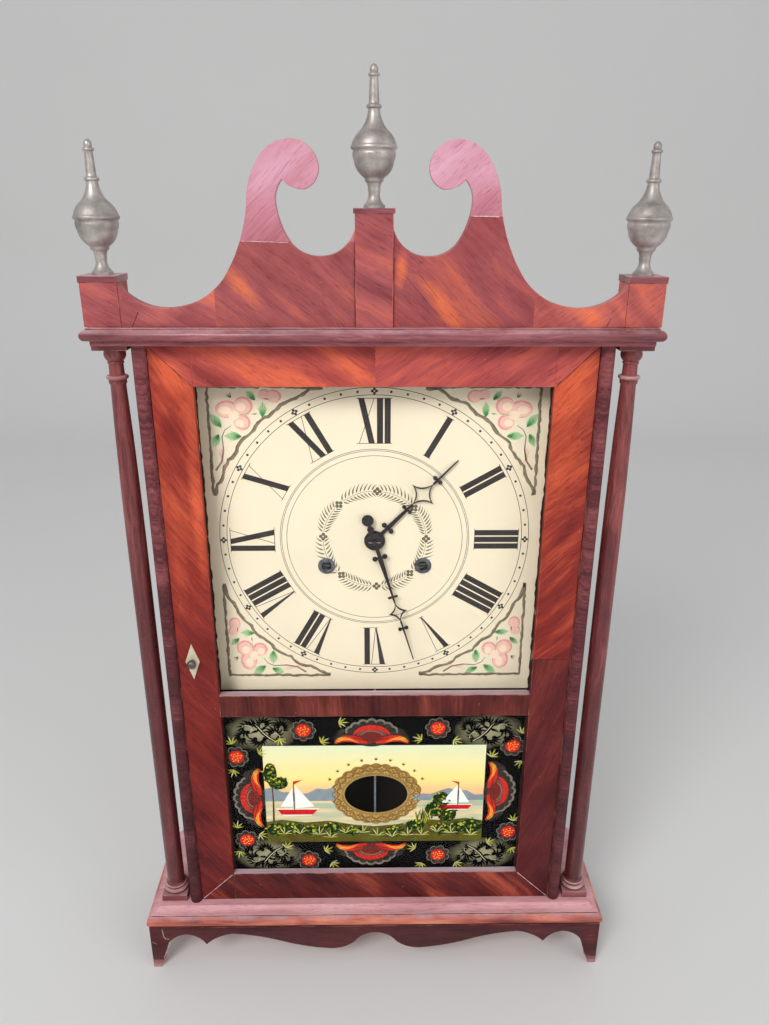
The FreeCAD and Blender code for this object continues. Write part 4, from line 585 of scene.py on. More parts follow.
class CLOCK_OT_base(bpy.types.Operator):
    """Dresses the shaped apron, the sides and the moulded top of the base"""
    bl_idname = "clock.base"
    bl_label = "Base"

    def execute(self, context):
        # The apron's very dark colours and its tones, light only at the feet and dark above, are painted
        # shade under the overhanging bead.
        wood("apron_veneer", screen(44, 14, 20), screen(96, 40, 42), screen(206, 150, 150), grain=(0, 90, 0),
             ribbon=(0, 80, 0), flame=0.3, streak=0.6, tones=("Z", 2, 17, 0.92, 0.28),
             flares=((210, 32, 12, 22, 0, 0.25), (-204, 34, 8, 16, 0, 0.1)), wear=0.25, haze=0.02, dust_and_sheen=0.1)
        # Heavy dust on the bead lays pale dust and a painted sheen on its upward faces.
        wood("bead_wood", screen(112, 46, 44), screen(206, 112, 92), screen(244, 166, 128),
             **ACROSS, flame=0.9, tone=0.5, haze=0.06, dust_and_sheen=0.9,
             flares=((-67.7, 57, 14, 7, 0, -0.35), (130, 57, 26, 7, 0, -0.3), (60, 57, 30, 7, 0, 0.25)))
        # The top board's pale pink colours are painted sheen: its upward faces shown as lit by the reflected
        # sky.
        wood("top_wood_sheen", screen(172, 104, 108), screen(226, 166, 168), screen(246, 204, 202),
             **ACROSS, flame=0.4, tone=0.5, haze=0.1, dust_and_sheen=0.3)
        wood("pine", screen(128, 88, 52), screen(176, 134, 88), screen(206, 168, 118), grain=(0, 0, 0),
             ribbon=(0, 4, 0), flame=0.35, tone=0.5, haze=0.05, dust_and_sheen=0.2, coat=0.0, gloss=(0.6, 0.8))
        for node in ("base_apron", "base_left_side", "base_right_side"):
            dressed(node, ["apron_veneer"])
        dressed("base_bead_board", ["bead_wood"])
        dressed("base_top_board", ["top_wood_sheen"])
        dressed("base_glue_blocks", ["pine"])
        self.lines()
        return {"FINISHED"}

    def lines(self):
        """The dark joint along the front, a painted highlight on the lip's upper edge above it, and the
        cracked veneer of the left foot.
        """
        paint("joint_dark", screen(46, 20, 24), mottle=0.3, rough=0.6, scale=300.0)
        paint("pale_joint_and_highlight", screen(232, 206, 200), mottle=0.3, rough=0.6, scale=300.0)
        art = Painting(STEP_FACE - 0.03, -0.04, seed=2)
        run = [-STEP_HALF + 2 * STEP_HALF * k / 60 for k in range(61)]
        art.stroke([(x, STEP_FOOT + 0.35) for x in run], 0.6, rough=0.5)
        # A pale line on the lip's upper edge: a painted highlight.
        art.stroke([(x, STEP_FOOT + 1.0) for x in run], 0.35, 1, rough=0.8)
        art.finish("step_line", "case", SLOT_OF["base_top_board"], ["joint_dark", "pale_joint_and_highlight"])
        art = Painting(APRON_FACE - 0.03, -0.04, seed=3)
        for points in FOOT_CRACKS:
            art.stroke(points, 0.5, 1, rough=0.5)
        art.finish("foot_cracks", "case", SLOT_OF["base_apron"], ["joint_dark", "pale_joint_and_highlight"])


class CLOCK_OT_case(bpy.types.Operator):
    """Dresses the sides, the backboard and the rounded strips beside the door"""
    bl_idname = "clock.case"
    bl_label = "Case"

    def execute(self, context):
        # Tones lighten the strips towards the top: painted light from above.
        wood("strip_wood", screen(46, 18, 22), screen(98, 44, 48), screen(160, 88, 90), grain=(0, 84, 0),
             ribbon=(0, 90, 0), flame=0.35, streak=1.2, tones=("Z", 80, 600, 0.25, 0.72), haze=0.04)
        wood("side_wood", screen(66, 24, 22), screen(104, 42, 34), screen(142, 66, 46), ribbon=(10, 0, 0),
             flame=0.4, tone=0.5, haze=0.06)
        for node in ("case_left_side", "case_right_side"):
            dressed(node, ["side_wood"])
        dressed("case_front_strips", ["strip_wood"], sharp=40.0)
        # The backboard's front gets very dark colours: aged pine darkened further as painted shade inside
        # the closed case.
        wood("old_pine_shaded", screen(34, 28, 28), screen(54, 44, 40), screen(72, 58, 48), ribbon=(0, 4, 0),
             flame=0.35, tone=0.5, haze=0.02, dust_and_sheen=0.1, coat=0.0, gloss=(0.7, 0.9))
        dressed("case_backboard", ["pine", "old_pine_shaded"], pick=lambda middle, normal: int(normal.y < -0.5))
        return {"FINISHED"}


class CLOCK_OT_columns(bpy.types.Operator):
    """Turns the two columns and dresses their plinths and abaci"""
    bl_idname = "clock.columns"
    bl_label = "Columns"

    def execute(self, context):
        column = tuple(context.scene.clock_wood.column)
        # The columns' tones lighten them towards the top: painted light from above.
        wood("column_wood", screen(56, 18, 22), column, screen(178, 92, 88), ribbon=(0, 0, 0), flame=0.35,
             tones=("Z", 90, 590, 0.3, 0.72), haze=0.03, wear=0.4, coat=0.3, shine=0.3, gloss=(0.24, 0.4))
        wood("plinth_wood", screen(88, 40, 42), screen(130, 68, 70), screen(186, 128, 122),
             **ACROSS, flame=0.3, haze=0.16, dust_and_sheen=0.7)
        wood("rubbed_wood", screen(112, 58, 60), screen(166, 108, 108), screen(222, 178, 172),
             **ACROSS, flame=0.5, tone=0.55, haze=0.12, dust_and_sheen=0.6)

        def pick(middle, normal):
            across, deep = COLUMN_AXES[1]
            wide = math.hypot(abs(middle.x) - across, middle.y - deep)
            neck_ring = NECK_RINGS[0] < middle.z < NECK_RINGS[1] and wide > NECK_RADIUS
            foot_ring = middle.z < FOOT_RINGS_TOP and wide > FOOT_RADIUS and normal.z > 0.1
            return int(neck_ring or foot_ring)

        for node, axis in zip(("left_column", "right_column"), COLUMN_AXES):
            turned(node, [axis], ["column_wood", "rubbed_wood"], pick=pick)
        dressed("column_plinths", ["plinth_wood"])
        dressed("column_abaci", ["plinth_wood"])
        return {"FINISHED"}


# Joints and cracks of the crest: from, to, width and whether it is pale
CREST_LINES = (
    ((-92.4, 679.2), (-60.0, 678.4), 0.35, 1), ((68.0, 695.9), (86.6, 695.7), 0.6, 1),
    ((-169.0, 631.0), (-174.0, CREST_FOOT), 0.45, 0), ((171.2, 627.0), (168.4, CREST_FOOT), 0.4, 0),
    ((13.9, 668.0), (13.9, CREST_FOOT), 0.3, 0), ((-13.9, 668.0), (-13.9, CREST_FOOT), 0.3, 0),
    ((-111.0, 640.0), (-88.0, 622.0), 0.2, 0), ((22.0, 656.0), (52.0, 622.0), 0.25, 0),
    ((30.0, 660.0), (46.0, 640.0), 0.2, 0),
)


class CLOCK_OT_crest(bpy.types.Operator):
    """Dresses the cornice, the scrolled crest with its patched veneers, and the dies with their caps"""
    bl_idname = "clock.crest"
    bl_label = "Crest"

    def execute(self, context):
        # Full dust on the cornice lays pale dust and a painted sheen on its upward faces.
        wood("cornice_wood", screen(84, 34, 38), screen(146, 78, 84), screen(208, 138, 140),
             **ACROSS, flame=0.35, haze=0.05, dust_and_sheen=1.0, coat=0.4,
             gloss=(0.22, 0.36))
        # The scroll tops' pale pink colours and their tones, paler upwards, are a painted sheen of light on
        # the varnish over the veneer.
        wood("scroll_veneer_sheen", screen(158, 74, 84), screen(202, 130, 144), screen(228, 172, 192),
             grain=(0, -46, 0), ribbon=(0, -46, 0), flame=0.3, streak=0.45,
             tones=("Z", 676, 726, 0.3, 0.84), haze=0.08)
        wood("left_field", screen(122, 50, 56), screen(170, 86, 86), screen(224, 116, 78), grain=(0, 52, 0),
             ribbon=(0, 52, 0), flame=0.45, streak=0.6, tones=("Z", 618, 690, 0.5, 0.42), shift=0.31,
             flares=((-92, 646, 9, 28, -36, 0.55), (-60, 634, 5, 22, -50, 0.3), (-25, 668, 10, 8, 60, -0.2)),
             haze=0.05)
        wood("right_field", screen(118, 48, 54), screen(166, 80, 82), screen(224, 112, 74),
             grain=(0, 48, 0), ribbon=(0, 48, 0), flame=0.45, streak=0.6, tones=("Z", 618, 690, 0.5, 0.42),
             shift=0.77, flares=((50, 635, 8, 24, -42, 0.6), (19, 662, 5, 15, 6, 0.55),
                                 (90, 640, 6, 20, -40, 0.2)), haze=0.05)
        wood("left_end", screen(128, 54, 60), screen(180, 92, 92), screen(228, 116, 84), grain=(0, 60, 0),
             ribbon=(0, 70, 0), flame=0.7, streak=0.7, tone=0.5, shift=1.1,
             flares=((-152, 632, 9, 22, 65, 0.4),), haze=0.05)
        wood("right_end", screen(130, 56, 58), screen(188, 94, 88), screen(236, 118, 80),
             grain=(0, -50, 0), ribbon=(0, 40, 0), flame=0.7, streak=0.7, tone=0.5, shift=1.5,
             flares=((152, 630, 8, 24, -60, 0.5), (196, 632, 10, 14, 0, 0.25)), haze=0.05)
        wood("plinth_curl", screen(104, 38, 44), screen(188, 96, 92), screen(240, 134, 92),
             ribbon=(0, 14, 0), zoom=(2.4, 2.4, 6.5), streak=0.8, flame=1.7, tone=0.5, shift=1.9, haze=0.05)
        dressed("cornice_soffit_board", ["cornice_wood"])
        dressed("cornice_bead_board", ["cornice_wood"])
        left_end, right_end = CREST_END_JOINTS
        cuts = [((x, 0, 0), (1, 0, 0)) for x in (left_end, -CREST_PLINTH_HALF, CREST_PLINTH_HALF, right_end)]
        cuts += [((0, 0, z), (0, 0, 1)) for z in SCROLL_JOINTS]

        def pick(middle, normal):
            right = int(middle.x > 0)
            if abs(middle.x) < CREST_PLINTH_HALF:
                return 5
            if middle.z > SCROLL_JOINTS[right]:
                return 0
            if not left_end < middle.x < right_end:
                return 3 + right
            return 1 + right

        dressed("crest_board", ["scroll_veneer_sheen", "left_field", "right_field", "left_end", "right_end",
                                "plinth_curl"], pick=pick, cuts=cuts, sharp=40.0)
        dressed("crest_dies", ["left_end", "right_end"], pick=lambda middle, normal: int(middle.x > 0))
        dressed("crest_caps", ["cornice_wood"])
        art = Painting(CREST_FACE - 0.03, -0.04, seed=5)
        for start, end, width, colour in CREST_LINES:
            line = [(x, z + art.chance.uniform(-0.08, 0.08)) for x, z in between(start, end, 14)]
            art.stroke(line, width, colour, rough=0.5)
        art.finish("crest_joints", "case", SLOT_OF["crest_board"], ["joint_dark", "pale_joint_and_highlight"])
        return {"FINISHED"}


class CLOCK_OT_finials(bpy.types.Operator):
    """Turns the three brass finials"""
    bl_idname = "clock.finials"
    bl_label = "Finials"

    def execute(self, context):
        brass = tuple(context.scene.clock_metal.brass)
        metal("finial_brass", tuple(c * 0.45 for c in brass), brass, scale=70.0, metallic=0.75, rings=0.6)
        turned("side_finials", SIDE_FINIAL_AXES, ["finial_brass"])
        turned("centre_finial", [CENTRE_FINIAL_AXIS], ["finial_brass"])
        return {"FINISHED"}


class CLOCK_OT_door(bpy.types.Operator):
    """Dresses the door's mitred veneers, its panes, escutcheon and knob"""
    bl_idname = "clock.door"
    bl_label = "Door"

    def execute(self, context):
        settings = context.scene.clock_wood
        dark, middle, light = [tuple(c) for c in (settings.dark, settings.middle, settings.light)]
        # The stiles' tones lighten them towards the top: painted light from above. The lower right stile's
        # darker colours are partly its own veneer and partly painted shade.
        wood("left_stile", dark, middle, light, grain=(0, 34, 0), ribbon=(0, 40, 0), flame=0.25,
             streak=0.7, shift=0.2, tones=("Z", 110, 590, 0.12, 0.7),
             flares=((-152, 590, 14, 26, 0, 0.5), (-141, 480, 6, 70, 0, 0.35), (-160, 430, 8, 60, 0, 0.15),
                     (-155, 540, 10, 18, 0, -0.3)), haze=0.02)
        wood("right_stile", dark, middle, light, grain=(0, -46, 0), ribbon=(0, -50, 0), flame=0.5,
             streak=0.8, shift=0.5, tones=("Z", 337, 590, 0.4, 0.66),
             flares=((150, 575, 16, 34, 30, 0.4), (146, 510, 10, 30, 40, 0.3), (158, 460, 9, 26, 40, -0.2)),
             haze=0.02)
        wood("right_stile_low", screen(60, 14, 20), screen(98, 32, 34), screen(140, 58, 46),
             grain=(0, -20, 0), ribbon=(0, -20, 0), flame=0.4, streak=0.7, shift=0.9,
             tones=("Z", 100, 337, 0.32, 0.6), haze=0.02)
        # The top rails' pale colours and the middle and bottom rails' dark ones are partly the veneers' own
        # and partly painted light from above.
        wood("top_rail_left", screen(124, 42, 42), screen(186, 80, 72), screen(230, 108, 76),
             grain=(0, 56, 0), ribbon=(0, 60, 0), flame=0.8, streak=0.8, shift=1.3, tone=0.52,
             flares=((-12, 585, 6, 26, -60, 0.35), (-150, 590, 16, 14, 0, 0.3)), haze=0.03)
        wood("top_rail_right", screen(120, 42, 46), screen(182, 80, 78), screen(224, 106, 84),
             grain=(0, -56, 0), ribbon=(0, -60, 0), flame=0.8, streak=0.8, shift=1.7, tone=0.48, haze=0.03)
        wood("middle_rail", screen(62, 20, 20), screen(106, 42, 36), screen(150, 72, 58), ribbon=(0, 3, 0),
             flame=0.8, streak=0.8, shift=2.1, tone=0.46, haze=0.02)
        wood("bottom_rail", screen(64, 16, 20), screen(108, 38, 34), screen(184, 84, 62), grain=(0, 48, 0),
             ribbon=(0, 46, 0), flame=0.9, shift=2.5, tone=0.46, haze=0.02)
        # The sill's pale colours are a lit copy of the rails for their upward faces: painted sheen, with
        # dust.
        wood("sill_sheen_and_dust", screen(120, 84, 88), screen(178, 150, 156), screen(226, 212, 218),
             **ACROSS, flame=0.6, tone=0.55, haze=0.2, dust_and_sheen=0.8)
        top_mitre = Vector((DOOR_HEAD - DIAL_OPENING[1], 0.0, OPENING_HALF - DOOR_HALF)).normalized()
        foot_mitre = Vector((TABLET_OPENING[0] - DOOR_FOOT, 0.0, DOOR_HALF - OPENING_HALF)).normalized()
        for node, side, parts in (("door_left_stile", -1, ("left_stile", "left_stile")),
                                  ("door_right_stile", 1, ("right_stile", "right_stile_low"))):
            lean_top = (side * top_mitre.x, 0.0, top_mitre.z)
            lean_foot = (side * foot_mitre.x, 0.0, foot_mitre.z)
            corner_top = (side * DOOR_HALF, 0.0, DOOR_HEAD)
            corner_foot = (side * DOOR_HALF, 0.0, DOOR_FOOT)

            def pick(middle, normal, side=side):
                out = DOOR_HALF - side * middle.x
                if (DOOR_HEAD - middle.z) * (DOOR_HALF - OPENING_HALF) < out * (DOOR_HEAD - DIAL_OPENING[1]):
                    return 2
                if (middle.z - DOOR_FOOT) * (DOOR_HALF - OPENING_HALF) < out * (TABLET_OPENING[0]
                                                                                - DOOR_FOOT):
                    return 3
                return 0 if middle.z > STILE_JOINT else 1

            rail = "top_rail_left" if side < 0 else "top_rail_right"
            dressed(node, [*parts, rail, "bottom_rail"], pick=pick,
                    cuts=[(corner_top, lean_top), (corner_foot, lean_foot),
                          ((0, 0, STILE_JOINT), (0, 0, 1))])

        def pick_rail(middle, normal):
            # Upward faces behind the door's face take the sill's painted sheen.
            if normal.z > 0.7 and middle.y > CASE_FACE + 0.8 and middle.z < DIAL_CENTRE:
                return 4
            if middle.z > DIAL_CENTRE:
                return 0 if middle.x < RAIL_JOINT else 1
            return 2 if middle.z > BORDER_MIDDLE else 3

        dressed("door_rails", ["top_rail_left", "top_rail_right", "middle_rail", "bottom_rail", "sill_sheen_and_dust"],
                pick=pick_rail, cuts=[((RAIL_JOINT, 0, 0), (1, 0, 0))])
        self.lines()
        self.glass()
        bone = tuple(screen(222, 208, 180))
        paint("bone", bone, mottle=0.18, rough=0.4, scale=200.0)
        metal("knob_metal", screen(66, 60, 58), screen(150, 142, 134), scale=300.0)
        dressed("door_escutcheon", ["bone"], edge=0.2)
        dressed("door_knob", ["knob_metal"], edge=0.0)
        refinish("door_hinge_pins", "knob_metal")
        return {"FINISHED"}

    def lines(self):
        """Glue lines at the mitres, and the dark putty that holds the panes."""
        art = Painting(CASE_FACE - 0.03, -0.04, seed=6)
        for side in (-1, 1):
            for start, end, width, colour in (
                    ((DOOR_HALF - 1, DOOR_FOOT + 1), (OPENING_HALF + 1, TABLET_OPENING[0] - 1), 0.5, 1),
                    ((DOOR_HALF - 1, DOOR_HEAD - 1), (OPENING_HALF + 1, DIAL_OPENING[1] + 1), 0.4, 0)):
                line = [(side * x, z) for x, z in between(start, end, 12)]
                art.stroke(line, width, colour, rough=0.6)
        art.stroke([(OPENING_HALF + 1.0, STILE_JOINT), (DOOR_HALF - 1.0, STILE_JOINT)], 0.4, 0)
        art.finish("mitre_lines", "door", SLOT_OF["door_rails"], ["joint_dark", "pale_joint_and_highlight"])
        paint("putty", screen(52, 34, 30), mottle=0.5, rough=0.8, scale=300.0)
        art = Painting(GLASS_FACE - 0.04, -0.04, seed=7)
        for foot, head in (DIAL_OPENING, TABLET_OPENING):
            count = int((head - foot) / 4)
            for side in (-1, 1):
                points = [(side * (OPENING_HALF - 0.5 + art.chance.uniform(-0.35, 0.35)), z)
                          for _, z in between((0, foot), (0, head), count)]
                art.stroke(points, 1.9, rough=0.6)
            across = OPENING_HALF - 1.0
            art.stroke([(across * (2 * k / 60 - 1), head - 0.5 + art.chance.uniform(-0.3, 0.3))
                        for k in range(61)], 1.6, rough=0.6)
        art.finish("pane_putty", "door", SLOT_OF["door_rails"], ["putty"])

    def glass(self):
        """Thin old glass that lets the lamps' light straight through."""
        finish = Finish("pane", Transmission_Weight=1.0, Roughness=0.02, IOR=1.12)
        w = finish.w
        finish.feed("Base Color", w.mixed(w.noise(finish.place, 20.0), (0.96, 0.98, 0.97), (0.99, 1.0, 1.0)))
        finish.feed("Normal", w.bump(w.noise(finish.place, 26.0, 1.0), 0.03, 0.0006))
        clear = w.put("BsdfTransparent", {"Color": (0.97, 0.98, 0.97, 1.0)})
        lamp = w.put("LightPath", gives="Is Shadow Ray")
        mix = w.put("MixShader", {0: lamp, 1: finish.shader.outputs[0], 2: clear})
        output = [node for node in w.tree.nodes if node.type == "OUTPUT_MATERIAL"][0]
        w.tree.links.new(mix, output.inputs["Surface"])
        FINISHES["pane"] = finish.material
        for node in ("dial_glass", "tablet_glass"):
            refinish(node, "pane")


# Each numeral as its strokes, in millimetres across from its left side: I is a bar, V a wedge and a
# hairline to its point, X a slanted bar and a hairline across it
BAR, BAR_STEP, HAIR = 4.9, 6.1, 0.5
NUMERALS = ("XII", "I", "II", "III", "IIII", "V", "VI", "VII", "VIII", "IX", "X", "XI")
NUMERAL_FOOT, NUMERAL_HEAD = 84.0, 121.5
DIAL_RINGS = ((129.75, 130.25), (123.75, 124.25), (79.3, 79.7), (78.0, 78.4), (73.7, 74.1))
DOT_RADIUS = 127.0
WREATH_RADIUS = 43.4
# The upper right corner's fruit (centre, half width, half height), its leaves (foot, degrees clockwise from
# up, length, width) and its stalks (foot, degrees)
FRUIT = ((103.8, 115.2, 7.6, 7.4), (116.6, 112.4, 9.6, 7.2), (105.4, 101.8, 6.8, 6.6),
         (79.5, 122.9, 6.2, 5.2), (86.6, 124.2, 4.8, 4.4))
FRUIT_LEAVES = ((106.4, 90.2, 88, 14.0, 7.0), (122.0, 97.6, 38, 14.4, 7.0), (124.6, 92.2, 155, 12.0, 6.2),
                (89.0, 105.6, -3, 13.0, 5.6), (94.0, 119.6, 42, 10.5, 5.0))
STALKS = ((113.0, 121.6, 10), (113.0, 121.6, 40), (113.0, 121.6, 62), (93.0, 108.8, 95),
          (83.0, 120.4, 80), (126.6, 100.6, 8))


class CLOCK_OT_dial(bpy.types.Operator):
    """Paints the dial: its cream ground, rings, numerals, wreath and corner fruit"""
    bl_idname = "clock.dial"
    bl_label = "Dial"

    def execute(self, context):
        settings = context.scene.clock_dial
        for name, shade, mottle, rough, scale in (
                ("dial_cream", tuple(settings.ground), 0.05, 0.42, 18.0),
                ("dial_ink", tuple(settings.ink), 0.25, 0.45, 260.0),
                ("faded_ink", screen(112, 100, 78), 0.3, 0.5, 400.0),
                ("rope_brown", screen(146, 130, 106), 0.4, 0.5, 420.0),
                ("fruit_pink", screen(236, 158, 152), 0.2, 0.5, 260.0),
                ("fruit_pale", screen(242, 192, 176), 0.12, 0.5, 260.0),
                ("fruit_cream", screen(246, 218, 190), 0.08, 0.5, 260.0),
                ("leaf_pale", screen(178, 210, 156), 0.2, 0.5, 500.0),
                ("leaf_green", screen(84, 150, 88), 0.3, 0.5, 500.0)):
            paint(name, shade, mottle, rough, scale)
        metal("grommet_steel", screen(58, 60, 66), screen(120, 122, 128), scale=200.0, metallic=0.5)
        dressed("dial_board", ["dial_cream"])
        dressed("winding_grommets", ["grommet_steel"], edge=0.3)
        self.numerals()
        self.wreath()
        self.corners()
        return {"FINISHED"}

    def numerals(self):
        """The minute ring with its dots, the chapter ring and the twelve numerals."""
        ink = Painting(DIAL_FACE - 0.04, -0.04)
        for inner, outer in DIAL_RINGS:
            ink.ring(0.0, DIAL_CENTRE, inner, outer, sides=144)
        for minute in range(60):
            turn = math.radians(6 * minute)
            places = [(0.0, DOT_RADIUS, 1.1)]
            if minute % 5 == 0:
                places = [(0.0, 128.6, 1.2), (0.0, 125.4, 1.2), (1.7, DOT_RADIUS, 1.2),
                          (-1.7, DOT_RADIUS, 1.2)]
            for across, radius, size in places:
                x, z = self.polar(turn, across, radius)
                ink.spot(x, z, size, sides=8)
        for hour, numeral in enumerate(NUMERALS):
            self.numeral(ink, math.radians(30 * hour), numeral)
        ink.finish("dial_numerals", "case", "dial_paint", ["dial_ink"])

    def polar(self, turn, across, radius):
        """A place on the dial, across clockwise and out along the ray at turn, clockwise from the top."""
        return (radius * math.sin(turn) + across * math.cos(turn),
                DIAL_CENTRE + radius * math.cos(turn) - across * math.sin(turn))

    def numeral(self, ink, turn, letters):
        wide = {"I": BAR_STEP, "V": 13.6, "X": 15.0}
        left = -sum(wide[letter] for letter in letters) / 2 + 0.6
        foot, head = NUMERAL_FOOT, NUMERAL_HEAD

        def shape(*corners):
            ink.patch([self.polar(turn, across, radius) for across, radius in corners])

        start = left
        for letter in letters:
            if letter == "I":
                shape((left, foot), (left, head), (left + BAR, head), (left + BAR, foot))
            elif letter == "V":
                point = left + 8.2
                shape((point - 0.5, foot), (left, head), (left + BAR, head), (point + 0.4, foot))
                shape((point, foot), (left + 12.0, head), (left + 12.0 + HAIR, head), (point + HAIR, foot))
            else:
                shape((left + 13.4 - BAR, foot), (left, head), (left + BAR, head), (left + 13.4, foot))
                shape((left + 0.4, foot), (left + 12.6, head), (left + 12.6 + HAIR, head),
                      (left + 0.4 + HAIR, foot))
            left += wide[letter]
        for radius in (foot, head - HAIR):
            first = start - 1.3 if letters[0] != "V" or radius > foot else start + 6.0
            last = left + 0.1 if letters[-1] != "V" or radius > foot else left - 3.0
            shape((first, radius), (first, radius + HAIR), (last, radius + HAIR), (last, radius))

    def wreath(self):
        """Eight fern sprigs round the centre with dotted flowers between them."""
        ink = Painting(DIAL_FACE - 0.04, -0.04, seed=4)
        flowers = (3, 49, 89, 136, 178, 221, 274, 317)
        for angle in flowers:
            x, z = self.polar(math.radians(angle), 0.0, WREATH_RADIUS)
            for side in range(4):
                dot = math.radians(90 * side + angle)
                ink.spot(x + 2.1 * math.sin(dot), z + 2.1 * math.cos(dot), 1.6, sides=8)
        for index, start in enumerate(flowers):
            end = flowers[(index + 1) % 8] + (360 if index == 7 else 0)
            right = start < 178
            first, last = (end - 6, start + 6) if right else (start + 6, end - 6)
            stem = [math.radians(first + (last - first) * share / 8) for share in range(9)]
            ink.stroke([self.polar(turn, 0.0, WREATH_RADIUS) for turn in stem], 0.35)
            for share, turn in enumerate(stem):
                ahead = math.degrees(turn) + (-90 if right else 90)
                size = 1.0 - 0.3 * abs(share - 4) / 4
                for side in (1, -1):
                    outer = (side > 0) == (not right)
                    x, z = self.polar(turn, 0.0, 44.2 if outer else 42.6)
                    ink.leaf(x, z, ahead - side * 64, (9.8 if outer else 8.2) * size, 1.15, bend=side * 34)
        ink.finish("dial_wreath", "case", "dial_paint", ["faded_ink", "rope_brown"])

    def corners(self):
        """Fruit and leaves inside a rope border in each corner. The lower two are the upper ones with their
        legs changed over."""
        art = Painting(DIAL_FACE - 0.04, -0.04, seed=9)
        rope, pink, pale, cream, leaf, green, dark = range(7)
        base = art.depth
        for side, rise in ((1, 1), (-1, 1), (1, -1), (-1, -1)):
            art.depth = base

            def at(p, q, side=side, rise=rise):
                p, q = (p, q) if rise > 0 else (q, p)
                return side * p, DIAL_CENTRE + rise * q

            def heading(angle, side=side, rise=rise):
                p, q = math.sin(math.radians(angle)), math.cos(math.radians(angle))
                p, q = (p, q) if rise > 0 else (q, p)
                return math.degrees(math.atan2(side * p, rise * q))

            def line(points, widths, colour, rough=0.0):
                art.stroke([at(*point) for point in points], widths, colour, rough)

            for start, end in (((132.4, 40.0), (131.6, 130.6)), ((131.6, 130.6), (41.0, 130.0))):
                steps = [(p + art.chance.uniform(-0.5, 0.5), q + art.chance.uniform(-0.5, 0.5))
                         for p, q in between(start, end, 30)]
                line(steps, 2.2, rope, 0.45)
                art.coat()
                line([(p + 0.7, q + 0.7) for p, q in steps], 0.7, dark, 0.9)
                art.coat(-1)
            arc = [math.radians(16.8 + (72.6 - 16.8) * k / 40) for k in range(41)]
            sway = [136.6 + art.chance.uniform(-0.6, 0.6) + 1.0 * math.sin(k * 0.9) for k in range(41)]
            line([(r * math.cos(a), r * math.sin(a)) for r, a in zip(sway, arc)], 2.4, rope, 0.45)
            art.coat()
            line([((r + 1.0) * math.cos(a), (r + 1.0) * math.sin(a)) for r, a in zip(sway, arc)], 0.8,
                 dark, 0.9)
            line([(114.4, 99.0), (119.6, 95.5), (122.2, 89.9), (121.6, 78.7), (123.6, 69.3), (129.0, 61.7)],
                 [0.5, 0.7, 0.9, 1.0, 1.4, 1.8], rope)
            for k in range(7):
                line([(121.5, 80.0), (126.0 - k * 0.4, 79.0 - k * 2.1), (124.0 - k * 1.1, 74.0 - k * 2.0)],
                     0.22, pink)
            for fruit, p0, q0, broad, tall, colour, sides in (
                    (FRUIT, 0.0, 0.0, 1.0, 1.0, pink, 24), (FRUIT, 0.9, -0.4, 0.86, 0.84, pale, 24),
                    (FRUIT[:3] + ((109.6, 108.2, 9.0, 8.0),), 2.0, -0.8, 0.5, 0.46, cream, 20)):
                for p, q, wide, high in fruit:
                    size = (wide * broad, high * tall)
                    art.spot(*at(p + p0, q + q0), *size[::rise], colour=colour, sides=sides)
                art.coat()
            line([(99.0, 108.6), (103.0, 107.4), (108.6, 107.4)], 0.5, leaf)
            line([(98.6, 117.0), (100.0, 120.6), (104.0, 122.0), (108.6, 120.0)], [0.3, 1.1, 1.1, 0.3], pink)
            line([(110.6, 117.4), (116.0, 119.0), (122.6, 116.8), (125.4, 112.0)], [0.3, 1.0, 1.2, 0.4],
                 pink)
            line([(99.4, 103.0), (100.6, 98.2), (105.0, 96.2), (110.0, 98.4)], [0.3, 1.1, 1.2, 0.3], pink)
            for p, q, angle, length, width in FRUIT_LEAVES:
                x, z = at(p, q)
                art.leaf(x, z, heading(angle), length, width, colour=leaf, steps=9, blunt=0.8)
                art.coat()
                for k in range(-3, 4):
                    art.leaf(x, z, heading(angle + k * 7.5), length * (0.96 - 0.07 * abs(k)), 0.5,
                             bend=-k * 4.0, colour=green, steps=5)
                art.coat(-1)
            for p, q, angle in STALKS:
                art.leaf(*at(p, q), heading(angle), 5.0, 0.9, colour=dark, steps=4)
        art.finish("dial_corners", "case", "dial_paint",
                   ["rope_brown", "fruit_pink", "fruit_pale", "fruit_cream", "leaf_pale", "leaf_green",
                    "faded_ink"])


PICTURE = ((-103.0, 131.7), (102.0, 242.5))
WINDOW = (0.9, 187.6)
SHORE = 180.3
GLOW_PLACE, GLOW_SIZE = (103.0, 71.0), (26.0, 16.5)
SCROLL_PLACE = (104.0, 71.0)
WINDOW_HALF = (29.6, 21.6)
ROSETTES = ((-65.0, 259.5), (57.0, 261.0), (-127.0, 231.0), (126.0, 241.5), (-122.5, 134.5), (-64.0, 109.0),
            (127.5, 142.0), (60.5, 114.5))
SPRIGS = ((-131, 248, -20), (-131, 214, 200), (-86, 248, 160), (-47, 248, 60), (-30, 268, 90),
          (40, 250, -70), (74, 247, 110), (134, 258, 20), (134, 222, 190), (133, 120, 150),
          (-131, 152, 10), (-131, 118, 190), (-84, 127, 30), (-46, 122, 60), (36, 124, -60),
          (44, 102, 200), (80, 103, 130), (-40, 104, 130), (132, 158, 10), (-104, 236, 60),
          (108, 232, 20), (-108, 140, 120), (110, 130, 60))
BUSHES = ((-97, 212, 6, 12), (-90, 201, 9, 7), (62, 181, 8, 9), (57, 170, 10, 9), (68, 164, 9, 9),
          (92, 150, 10, 8), (80, 148, 9, 7), (-60, 146, 9, 6), (-78, 148, 10, 7), (-94, 147, 9, 8),
          (-40, 149, 9, 6), (38, 151, 9, 7), (64, 147, 9, 7), (-20, 145, 8, 5), (18, 145, 8, 5))
